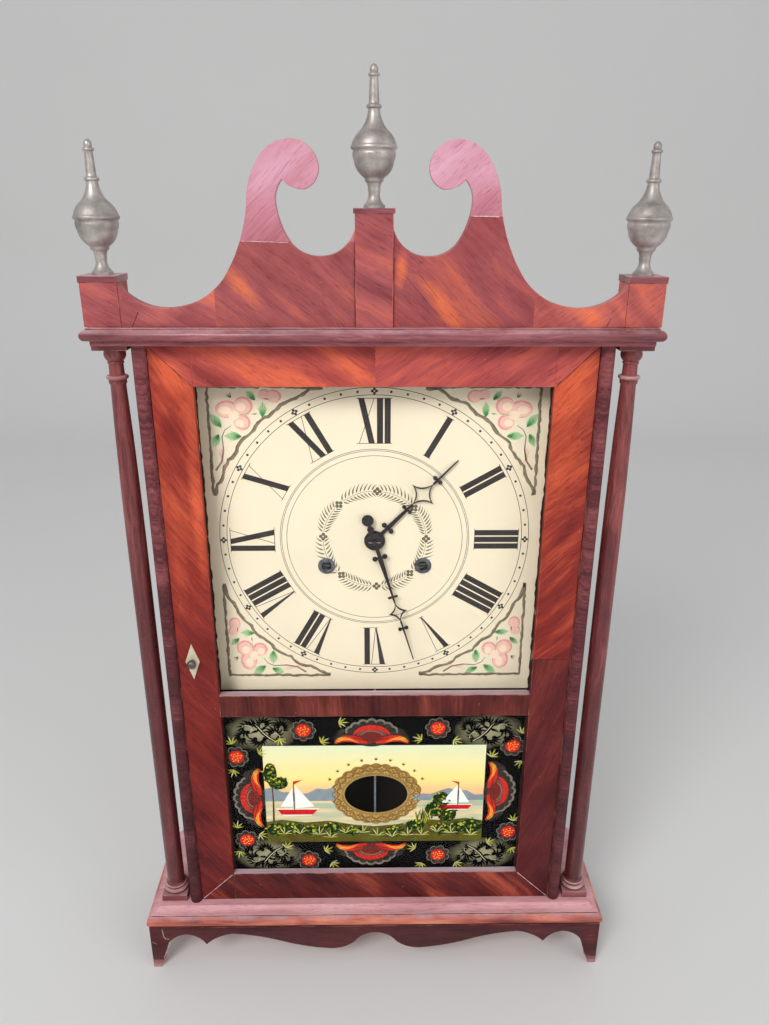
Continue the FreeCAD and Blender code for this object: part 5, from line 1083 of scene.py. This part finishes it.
# Each plain paint of the tablet as its colour and how mottled it is, in the order of their numbers from 3
TABLET_PAINTS = {
    "gilt_light": ((206, 176, 112), 0.2), "rose_red": ((214, 34, 34), 0.2),
    "petal_grey": ((62, 56, 52), 0.5), "petal_edge": ((134, 126, 112), 0.3),
    "stipple_yellow": ((250, 180, 64), 0.15), "scroll_black": ((12, 11, 12), 0.2),
    "vein_cream": ((212, 204, 168), 0.2), "sprig_green": ((196, 196, 60), 0.3),
    "bush_green": ((106, 124, 34), 0.45), "bush_dark": ((34, 56, 28), 0.5),
    "sail_white": ((246, 244, 236), 0.08), "hill_blue": ((142, 152, 158), 0.2),
    "earth_brown": ((110, 72, 34), 0.5), "shell_red": ((214, 50, 38), 0.3),
    "shell_dark": ((122, 46, 40), 0.35),
}
PAINT_NUMBERS = {name: 3 + index for index, name in enumerate([*TABLET_PAINTS, "gilt_bright", "bank_green"])}


class CLOCK_OT_tablet(bpy.types.Operator):
    """Paints the back of the lower pane: a lake in a gilt-ringed picture, and a flowered border"""
    bl_idname = "clock.tablet"
    bl_label = "Tablet"

    def execute(self, context):
        self.paints()
        art = Painting(GLASS_BACK + 0.03, 0.04, seed=21)
        self.border_details(art)
        self.picture_details(art)
        art.coat(8)
        black, picture, gilt = 0, 1, 2
        low, high = PICTURE
        art.ring(*WINDOW, WINDOW_HALF[0], 41.2, gilt, sides=176, ratio=WINDOW_HALF[1] / WINDOW_HALF[0],
                 swell=lambda turn: 1.9 * abs(math.sin(turn * 11)) + 3.4 * math.sin(turn) ** 2)
        art.coat()
        art.pierced(low, high, WINDOW, WINDOW_HALF[0] + 0.3, WINDOW_HALF[1] + 0.3, picture)
        art.coat()
        art.pierced((-OPENING_HALF - 3, 97.5), (OPENING_HALF + 3, 283.5), WINDOW, WINDOW_HALF[0] + 0.4,
                    WINDOW_HALF[1] + 0.4, black)
        art.finish("tablet_painting", "door", "painted_glass",
                   ["tablet_black", "tablet_picture", "gilt", *PAINT_NUMBERS])
        return {"FINISHED"}

    def paints(self):
        finish = Finish("tablet_black", Roughness=0.35, Specular_IOR_Level=0.0)
        w = finish.w
        place = w.put("SeparateXYZ", {0: finish.place}).node.outputs
        away = (w.sums("ABSOLUTE", place["X"]),
                w.sums("ABSOLUTE", w.sums("SUBTRACT", place["Z"], BORDER_MIDDLE * MM)))
        squares = []
        for socket, middle, size in zip(away, GLOW_PLACE, GLOW_SIZE):
            share = w.sums("DIVIDE", w.sums("SUBTRACT", socket, middle * MM), size * MM)
            squares.append(w.sums("POWER", w.sums("ABSOLUTE", share), 2.0))
        far = w.sums("SQRT", w.sums("ADD", *squares))
        ragged = w.sums("SUBTRACT", w.noise(finish.place, 90.0), 0.5)
        far = w.sums("ADD", far, w.sums("MULTIPLY", ragged, 0.5))
        glow = w.spread(far, 1.25, 0.25)
        finish.feed("Base Color", w.mixed(glow, screen(10, 9, 11), screen(158, 150, 116)))
        FINISHES["tablet_black"] = finish.material

        finish = Finish("tablet_picture", Roughness=0.4, Specular_IOR_Level=0.0)
        w = finish.w
        streak = w.noise(w.scaled(finish.place, (14.0, 14.0, 150.0)), 1.0, 4.0)
        level = w.put("SeparateXYZ", {0: finish.place}, gives="Z")
        level = w.sums("ADD", level, w.sums("MULTIPLY", w.sums("SUBTRACT", streak, 0.5), 0.012))
        sky = w.mixed(w.spread(level, 0.187, 0.204), screen(244, 186, 140), screen(250, 222, 140))
        sky = w.mixed(w.spread(level, 0.206, 0.242), sky, screen(222, 224, 188))
        lake = w.mixed(w.spread(streak, 0.4, 0.6), screen(176, 184, 160), screen(232, 206, 158))
        real_level = w.put("SeparateXYZ", {0: finish.place}, gives="Z")
        shore = w.spread(real_level, (SHORE - 0.2) * MM, (SHORE + 0.2) * MM)
        finish.feed("Base Color", w.mixed(shore, lake, sky))
        FINISHES["tablet_picture"] = finish.material

        finish = Finish("gilt", Metallic=0.35, Roughness=0.42)
        w = finish.w
        cells = w.put("TexVoronoi", {"Vector": finish.place, "Scale": 620.0}, feature="F1")
        speck = w.spread(cells, 0.16, 0.3, 1.0, 0.0)
        ground = w.mixed(w.noise(finish.place, 160.0, 3.0), screen(132, 92, 36), screen(190, 146, 70))
        finish.feed("Base Color", w.mixed(w.sums("MULTIPLY", speck, 0.7), ground, screen(224, 186, 108)))
        FINISHES["gilt"] = finish.material
        for name, (shade, mottle) in TABLET_PAINTS.items():
            paint(name, screen(*shade), mottle=mottle, rough=0.4, scale=240.0, shine=0.0)
        paint("gilt_bright", screen(238, 208, 138), mottle=0.15, rough=0.35, shine=0.0)
        paint("bank_green", screen(92, 98, 36), mottle=0.55, rough=0.4, scale=150.0,
              shift=(0.05, 0.0, 0.0), shine=0.0)

    def border_details(self, art):
        """Rosettes, shells, scroll leaves and sprigs, the nearest to the glass first."""
        red, petal, edge, yellow, black, cream, sprig, shell, shell_dark = map(PAINT_NUMBERS.get, (
            "rose_red", "petal_grey", "petal_edge", "stipple_yellow", "scroll_black", "vein_cream",
            "sprig_green", "shell_red", "shell_dark"))
        start = art.depth
        for index, (x, z) in enumerate(ROSETTES):
            art.depth = start
            for dot in range(13):
                turn, reach = dot * 2.4, 5.2 * math.sqrt((dot + 0.5) / 13)
                art.spot(x + reach * math.sin(turn), z + reach * math.cos(turn), 0.95, 0.6,
                         art.chance.uniform(0, 180), yellow, sides=6)
            art.coat()
            art.spot(x, z, 6.8, colour=red, sides=20)
            for reach, wide, high, colour in ((7.4, 3.2, 3.6, petal), (7.6, 3.7, 4.1, edge)):
                art.coat()
                for lobe in range(8):
                    turn = math.radians(45 * lobe + 9 * index)
                    art.spot(x + reach * math.sin(turn), z + reach * math.cos(turn), wide, high,
                             math.degrees(turn), colour, sides=12)
        for x, z, turn in ((-3.0, 243.5, 0), (-4.0, 130.6, 180), (-104.5, 184.0, -90), (103.5, 190.0, 90)):
            art.depth = start
            self.shell(art, x, z, turn, (yellow, shell, shell_dark, petal, edge))
        art.depth = start
        for side, rise in ((-1, 1), (1, 1), (-1, -1), (1, -1)):
            self.scroll(art, side, rise, start, black, cream)
        art.depth = start
        for x, z, turn in SPRIGS:
            for k in range(5):
                lean = math.radians(turn)
                art.leaf(x - 3 * math.sin(lean), z - 3 * math.cos(lean), turn - 60 + 30 * k,
                         9.5 - abs(k - 2) * 1.4, 1.1, bend=10 * (k - 2),
                         colour=sprig if (k + int(x)) % 3 else cream, steps=5, blunt=1.0)

    def shell(self, art, x, z, turn, colours):
        """A red fan with a scalloped grey edge and two wings, opening along turn."""
        yellow, red, dark, petal, edge = colours
        cosine, sine = math.cos(math.radians(turn)), math.sin(math.radians(turn))

        def at(p, q):
            return x + p * cosine + q * sine, z - p * sine + q * cosine

        def line(points, widths, colour):
            art.stroke([at(*point) for point in points], widths, colour)

        for k in range(11):
            angle = math.radians(-75 + 15 * k)
            line([(9.5 * math.sin(angle), 7.0 + 4.5 * math.cos(angle)),
                  (15.0 * math.sin(angle), 9.0 + 8.4 * math.cos(angle)),
                  (21.5 * math.sin(angle), 9.6 + 15.0 * math.cos(angle))], [0.15, 0.4, 0.15], dark)
        for side in (-1, 1):
            for k in range(4):
                line([(side * (12 + k * 2), 2.6 + k * 1.4), (side * (20 + k * 2), 5.6 + k),
                      (side * (27 + k), 5.6 + k * 0.6), (side * (31 + k), 3.0)], [0.2, 0.5, 0.7, 0.2],
                     yellow)
        art.coat()
        for side in (-1, 1):
            line([(side * 4, 2.4), (side * 12, 3.8), (side * 20, 6.0), (side * 27, 5.4), (side * 33.5, 1.4)],
                 [2.4, 4.0, 5.0, 4.2, 0.8], red)
            line([(side * 8, 7.0), (side * 17, 9.0), (side * 25, 9.4), (side * 31, 6.4)],
                 [0.6, 2.2, 2.0, 0.4], red)
        arch = [(16.6 * math.sin(a), 9.0 + 9.8 * math.cos(a)) for a in
                [math.radians(-80 + 160 * k / 18) for k in range(19)]]
        line(arch, [0.8 + 4.6 * math.sin(math.pi * k / 18) for k in range(19)], red)
        art.coat()
        for reach, width in ((0.62, 1.1), (0.78, 0.5)):
            line([(x * reach, 9.0 + (z - 9.0) * reach) for x, z in arch], width, edge)
        art.coat()
        art.spot(*at(0, 10.0), 14.8, 8.2, turn, dark, sides=24)
        art.coat()
        for k in range(9):
            angle = math.radians(-88 + 22 * k)
            art.spot(*at(20.2 * math.sin(angle), 9.4 + 13.2 * math.cos(angle)), 3.9, 3.9, 0, petal, sides=14)
        art.spot(*at(0, 11.0), 20.0, 13.0, turn, petal, sides=28)
        art.coat()
        for k in range(9):
            angle = math.radians(-88 + 22 * k)
            art.spot(*at(21.0 * math.sin(angle), 9.6 + 14.2 * math.cos(angle)), 4.9, 4.9, 0, edge, sides=14)
        for side in (-1, 1):
            for k in range(4):
                line([(side * 20, 12 - k), (side * (26 + k * 2), 16 - k * 3.4),
                      (side * (31 + k * 1.5), 15 - 3 * k)], [1.0, 4.0, 0.6], petal)

    def scroll(self, art, side, rise, start, black, cream):
        """A black curling leaf with a pale vein on the glow in one corner."""
        def at(p, q):
            return side * (SCROLL_PLACE[0] + p), BORDER_MIDDLE + rise * (SCROLL_PLACE[1] + q)

        art.depth = start
        vein = [(-15.0, -10.5), (-9.0, -6.5), (-3.0, -0.5), (1.5, 6.0), (4.0, 9.0)]
        art.stroke([at(*point) for point in vein], [0.5, 0.9, 0.9, 0.7, 0.2], cream)
        for p, q, r in ((-13.5, -5.5, 4.4), (12.0, 3.4, 4.6)):
            curl = [at(p + r * math.cos(a), q + r * math.sin(a)) for a in
                    [math.radians(200 - 24 * k) for k in range(8)]]
            art.stroke(curl, 0.45, cream)
        art.coat()
        art.stroke([at(*point) for point in ((-17.0, -11.0), (-9.0, -6.8), (-2.6, -0.6), (2.0, 6.4),
                                             (6.0, 9.4), (11.0, 9.6))],
                   [2.6, 3.4, 3.6, 3.2, 2.6, 1.0], black)
        for p, q, r, first, sweep in ((-12.0, -1.5, 5.6, 250, -230), (11.0, 3.6, 5.8, 150, -240),
                                      (2.0, -6.8, 4.8, 160, 200), (-4.0, 8.0, 5.0, -60, 220),
                                      (15.5, -5.0, 4.4, 110, -210), (-18.5, 5.6, 4.0, 230, -200)):
            turns = [math.radians(first + sweep * k / 9) for k in range(10)]
            curl = [(p + r * (1 - 0.05 * k) * math.cos(a), q + r * (1 - 0.05 * k) * math.sin(a))
                    for k, a in enumerate(turns)]
            art.stroke([at(*point) for point in curl], [0.8 + 2.4 * k / 9 for k in range(10)], black)
            art.spot(*at(*curl[-1]), 2.2, colour=black, sides=10)
            for k in range(9):
                lean = turns[k] + math.copysign(0.7, sweep)
                heading = math.degrees(math.atan2(side * math.cos(lean), rise * math.sin(lean)))
                art.leaf(*at(*curl[k]), heading, 5.6 + 0.35 * k, 2.2,
                         bend=24 * side * rise * math.copysign(1, -sweep), colour=black, steps=5)
        for p, q, angle in ((-7, -4, -60), (-1, 3, -60), (1, 2, 100), (-6, -6, 120), (4, 8, 20), (8, 9, 50)):
            x, z = at(p, q)
            lean = math.radians(angle)
            art.leaf(x, z, math.degrees(math.atan2(side * math.sin(lean), rise * math.cos(lean))), 9.0, 2.8,
                     bend=34 * side, colour=black, steps=5)

    def picture_details(self, art):
        """Two small boats on a lake, far hills, round trees and a grassy bank."""
        light, cream, red, green, dark, white, hill, earth, yellow, bright, bank_green = map(
            PAINT_NUMBERS.get, ("gilt_light", "vein_cream", "rose_red", "bush_green", "bush_dark",
                                "sail_white", "hill_blue", "earth_brown", "sprig_green", "gilt_bright",
                                "bank_green"))
        start = art.depth
        x0, z0 = WINDOW
        for k in range(9):
            turn = math.radians(-64 + 16 * k)
            x, z = x0 + 46.4 * math.sin(turn), z0 + 38.6 * math.cos(turn)
            for lean in (-28, 0, 28):
                art.leaf(x, z, math.degrees(turn) + lean, 3.4, 0.9, colour=earth, steps=3)
        art.ring(x0, z0, WINDOW_HALF[0], WINDOW_HALF[0] + 0.7, light, ratio=WINDOW_HALF[1] / WINDOW_HALF[0])
        for row, (wide, high) in enumerate(((33.4, 25.2), (37.6, 29.6))):
            for k in range(22):
                turn = math.tau * (k + 0.5 * row + 0.5) / 22
                for dot in (-1, 0, 1):
                    reach = 1.0 + 0.045 * (1 - abs(dot))
                    lean = turn + 0.055 * dot
                    art.spot(x0 + wide * reach * math.cos(lean), z0 + high * reach * math.sin(lean), 0.62,
                             colour=bright, sides=6)
                bow = [turn + 0.12 * step / 4 for step in range(-4, 5)]
                art.stroke([(x0 + (wide + 3.4 - 0.16 * step * step) * math.cos(a),
                             z0 + (high + 3.4 - 0.16 * step * step) * math.sin(a))
                            for step, a in zip(range(-4, 5), bow)], 0.45, colour=earth)
        for x, z, size in ((-76.0, 166.0, 1.0), (78.0, 171.0, 0.82)):
            art.depth = start
            side = 1 if x < 0 else -1

            def at(p, q, x=x, z=z, size=size, side=side):
                return x + side * p * size, z + q * size

            art.stroke([at(0, 0), at(0, 37)], 0.7, earth)
            art.patch([at(0, 37), at(9, 39), at(0, 33.5)][::-1 if side > 0 else 1], red)
            art.coat()
            art.patch([at(1, 6), at(1, 33), at(19, 8)][::-1 if side < 0 else 1], white)
            art.patch([at(-1, 8), at(-1, 30), at(-13, 8)][::1 if side < 0 else -1], white)
            art.patch([at(-16, 4.5), at(22, 4.5), at(17, -1.5), at(-12, -1.5)][::1 if side < 0 else -1], red)
            art.coat()
            art.patch([at(-17, 5.6), at(23, 5.6), at(16, -2.6), at(-11, -2.6)][::1 if side < 0 else -1],
                      white)
        art.depth = start
        for tuft in range(13):
            x, z = -84 + 14.4 * tuft + art.chance.uniform(-3, 3), 134 + art.chance.uniform(0, 9)
            for k in range(7):
                art.leaf(x, z, -66 + 22 * k, 11.0 - abs(k - 3), 0.9, bend=14 * (k - 3),
                         colour=(yellow, dark, cream)[(k + tuft) % 3], steps=6, blunt=1.0)
        for k in range(14):
            x = 40 + 12 * k / 13 + art.chance.uniform(-2, 2)
            art.leaf(x, 156 + art.chance.uniform(-4, 2), art.chance.uniform(-22, 22), 15, 1.1,
                     colour=green if k % 3 else yellow, steps=4, blunt=1.0)
        art.coat()
        for x, z, wide, high in BUSHES:
            for k in range(26):
                turn, reach = 2.4 * k, math.sqrt((k + 0.5) / 26)
                art.leaf(x + wide * reach * math.sin(turn), z + high * reach * math.cos(turn),
                         art.chance.uniform(-180, 180), 3.4, 2.2,
                         colour=(dark, green, green, yellow, dark)[k % 5] if k % 9 else yellow, steps=3)
            art.coat()
            art.spot(x, z, wide, high, colour=dark, sides=18)
            art.coat(-1)
        for x, low, high in ((-96, 156, 206), (62, 150, 176)):
            art.stroke([(x, low), (x + 0.6, (low + high) / 2), (x, high)], [1.8, 1.3, 0.9], earth)
        art.coat(2)
        (left, foot), right = PICTURE[0], PICTURE[1][0]
        bank = [(left, 156.0), (-88.0, 158.5), (-66.0, 155.0), (-44.0, 157.0), (-20.0, 152.0), (0.0, 150.0),
                (20.0, 152.0), (44.0, 158.0), (66.0, 156.5), (86.0, 159.0), (right, 156.0), (right, foot),
                (left, foot)]
        art.patch(bank[::-1], bank_green)
        for first, last, crest in ((left, -38.0, 196.0), (36.0, right, 194.0)):
            steps = [first + (last - first) * k / 8 for k in range(9)]
            tops = [(x, crest - 4 + 3.5 * math.sin(x * 0.11) + 1.6 * math.sin(x * 0.31)) for x in steps]
            art.patch(tops + [(last, SHORE), (first, SHORE)], hill)


class CLOCK_OT_hands(bpy.types.Operator):
    """Blues the two hands nearly black"""
    bl_idname = "clock.hands"
    bl_label = "Hands"

    def execute(self, context):
        steel = tuple(context.scene.clock_metal.steel)
        metal("hand_steel", tuple(c * 0.6 for c in steel), steel, scale=150.0, metallic=0.5)
        dressed("hour_hand", ["hand_steel"], edge=0.15)
        dressed("minute_hand", ["hand_steel"], edge=0.15)
        metal("pin_steel", screen(120, 116, 112), screen(214, 210, 204), scale=400.0)
        pin = bmesh.new()
        thick, thin = HAND_PIN_RADII
        place = Matrix.Translation((0.0, HAND_PIN_DEPTH * MM, DIAL_CENTRE * MM))
        bmesh.ops.create_cone(pin, cap_ends=True, segments=12, radius1=thick * MM, radius2=thin * MM,
                              depth=HAND_PIN_LENGTH * MM,
                              matrix=place @ Matrix.Rotation(math.radians(90), 4, "Y"))
        placed("hand_pin", pin, "centre_arbor", "bright_wire", ["pin_steel"])
        return {"FINISHED"}


class CLOCK_OT_movement(bpy.types.Operator):
    """Finishes the wooden movement, its iron wires, the bell, the pulleys and the weights"""
    bl_idname = "clock.movement"
    bl_label = "Movement"

    def execute(self, context):
        wood("oak", screen(104, 72, 40), screen(150, 112, 68), screen(184, 146, 98), ribbon=(0, 90, 0),
             flame=0.4, coat=0.0, gloss=(0.55, 0.75), haze=0.02)
        wood("cherry", screen(112, 56, 28), screen(158, 92, 52), screen(190, 124, 78), ribbon=(0, 45, 0),
             flame=0.3, coat=0.0, gloss=(0.5, 0.7), haze=0.02)
        metal("wire", screen(92, 88, 84), screen(168, 164, 158), scale=200.0)
        metal("iron", screen(30, 29, 29), screen(66, 63, 60), scale=90.0, metallic=0.3)
        metal("bell_metal", screen(110, 92, 62), screen(190, 166, 112), scale=50.0, rings=0.4)
        for node in ("time_drum", "strike_drum"):
            dressed(node, ["cherry", "iron"], edge=0.2,
                    pick=lambda middle, normal: int(middle.y < DRUM_FRONT))
        dressed("centre_wheel", ["cherry", "iron"], edge=0.1,
                pick=lambda middle, normal: int(middle.y < CENTRE_WHEEL_FRONT))
        metal("rod_steel", screen(140, 140, 146), screen(196, 196, 202), scale=200.0, metallic=0.2)
        dressed("pendulum", ["rod_steel", "bell_metal"], edge=0.0,
                pick=lambda middle, normal: int(middle.z < BOB_TOP and abs(middle.x) > ROD_HALF))
        kinds = {"oak_plate": "oak", "cherry_wheel": "cherry", "aged_brass": "bell_metal", "pine": "pine",
                 "bright_wire": "wire", "cast_iron": "iron", "dark_steel": "iron"}
        for node, slot in SLOT_OF.items():
            if slot in kinds and not frame["nodes"][node].hide_render:
                refinish(node, kinds[slot])
        return {"FINISHED"}


# The photograph's camera: degrees down, to the right and rolled, its place in metres and its lens
CAMERA_TURNS = (21.009, 0.879, 0.181)
CAMERA_PLACE = (-0.0013, -0.6353, 0.7028)
CAMERA_LENS = 28.098
# Each lamp's name, place, the place it looks at, and width, in metres
LAMPS = (("key_lamp", (-0.9, -1.7, 1.9), (0.0, 0.0, 0.4), 1.0),
         ("fill_lamp", (1.5, -1.4, 1.0), (0.0, 0.0, 0.35), 1.6))
SKY_COLOUR, SKY_STRENGTH = (0.95, 0.97, 1.0, 1.0), 0.52


class CLOCK_OT_stage(bpy.types.Operator):
    """Sets the pale floor and wall, the lamps and the camera"""
    bl_idname = "clock.stage"
    bl_label = "Stage"

    def execute(self, context):
        settings = context.scene.clock_stage
        finish = Finish("stage_paint", Roughness=0.9)
        w = finish.w
        shade = tuple(settings.floor)
        cloud = w.noise(finish.place, 3.0, 3.0)
        finish.feed("Base Color", w.mixed(cloud, tuple(c * 0.97 for c in shade), shade))
        sweep = bmesh.new()
        bmesh.ops.create_grid(sweep, x_segments=1, y_segments=1, size=3.0,
                              matrix=Matrix.Translation((0.0, -1.2, -0.0002)))
        rim = [e for e in sweep.edges if all(v.co.y > 1.7 for v in e.verts)]
        bent = bmesh.ops.spin(sweep, geom=rim, cent=(0.0, 1.8, 0.6), axis=(1.0, 0.0, 0.0),
                              angle=math.radians(90), steps=16, use_duplicate=False)
        rim = [e for e in bent["geom_last"] if isinstance(e, bmesh.types.BMEdge)]
        risen = bmesh.ops.extrude_edge_only(sweep, edges=rim)
        top = [v for v in risen["geom"] if isinstance(v, bmesh.types.BMVert)]
        bmesh.ops.translate(sweep, verts=top, vec=(0.0, 0.0, 3.0))
        mesh = bpy.data.meshes.new("floor_and_wall")
        sweep.to_mesh(mesh)
        sweep.free()
        mesh.shade_smooth()
        mesh.materials.append(finish.material)
        floor = bpy.data.objects.new("floor_and_wall", mesh)
        context.scene.collection.objects.link(floor)
        for (name, place, aim, size), power in zip(LAMPS, (settings.key_power, settings.fill_power)):
            self.lamp(context, name, place, aim, size, power)
        world = bpy.data.worlds.new("soft_sky")
        world.use_nodes = True
        sky = world.node_tree.nodes["Background"].inputs
        sky["Color"].default_value = SKY_COLOUR
        sky["Strength"].default_value = SKY_STRENGTH
        context.scene.world = world
        self.camera(context)
        context.scene.view_settings.view_transform = "Standard"
        return {"FINISHED"}

    def lamp(self, context, name, place, aim, size, power):
        light = bpy.data.lights.new(name, "AREA")
        light.shape = "DISK"
        light.size = size
        light.energy = power
        lamp = bpy.data.objects.new(name, light)
        lamp.location = place
        lamp.rotation_euler = (Vector(aim) - Vector(place)).to_track_quat("-Z", "Y").to_euler()
        context.scene.collection.objects.link(lamp)

    def camera(self, context):
        """Looks from the photograph's angle."""
        pitch, yaw, roll = [math.radians(a) for a in CAMERA_TURNS]
        ahead = Vector((math.sin(yaw) * math.cos(pitch), math.cos(yaw) * math.cos(pitch), -math.sin(pitch)))
        level = Vector((math.cos(yaw), -math.sin(yaw), 0.0))
        up = level.cross(ahead)
        right = level * math.cos(roll) + up * math.sin(roll)
        up = up * math.cos(roll) - level * math.sin(roll)
        camera = bpy.data.cameras.new("camera")
        camera.lens = CAMERA_LENS
        camera.sensor_width = 36.0
        camera.clip_start = 0.01
        holder = bpy.data.objects.new("camera", camera)
        turn = Matrix((right, up, -ahead)).transposed()
        holder.matrix_world = Matrix.Translation(CAMERA_PLACE) @ turn.to_4x4()
        context.scene.collection.objects.link(holder)
        context.scene.camera = holder


PIECES = [CLOCK_OT_base, CLOCK_OT_case, CLOCK_OT_columns, CLOCK_OT_crest, CLOCK_OT_finials, CLOCK_OT_door,
          CLOCK_OT_dial, CLOCK_OT_tablet, CLOCK_OT_hands, CLOCK_OT_movement, CLOCK_OT_stage]
SETTINGS = {"clock_wood": ClockWood, "clock_dial": ClockDial, "clock_metal": ClockMetal,
            "clock_stage": ClockStage}


class CLOCK_PT_panel(bpy.types.Panel):
    """The clock's pieces and the settings that they use"""
    bl_idname = "CLOCK_PT_panel"
    bl_label = "Pillar and Scroll Clock"
    bl_space_type = "VIEW_3D"
    bl_region_type = "UI"
    bl_category = "Clock"

    def draw(self, context):
        for name, kind in SETTINGS.items():
            for prop in kind.__annotations__:
                self.layout.prop(getattr(context.scene, name), prop)
        for piece in PIECES:
            self.layout.operator(piece.bl_idname)


def register():
    for kind in [*SETTINGS.values(), *PIECES, CLOCK_PT_panel]:
        bpy.utils.register_class(kind)
    for name, kind in SETTINGS.items():
        setattr(bpy.types.Scene, name, bpy.props.PointerProperty(type=kind))


def unregister():
    for name in SETTINGS:
        delattr(bpy.types.Scene, name)
    for kind in reversed([*SETTINGS.values(), *PIECES, CLOCK_PT_panel]):
        bpy.utils.unregister_class(kind)


def main():
    register()
    build_groups()
    for piece in PIECES:
        getattr(bpy.ops.clock, piece.bl_idname.split(".")[1])()
    bpy.context.view_layer.update()


if __name__ == "__main__":
    main()
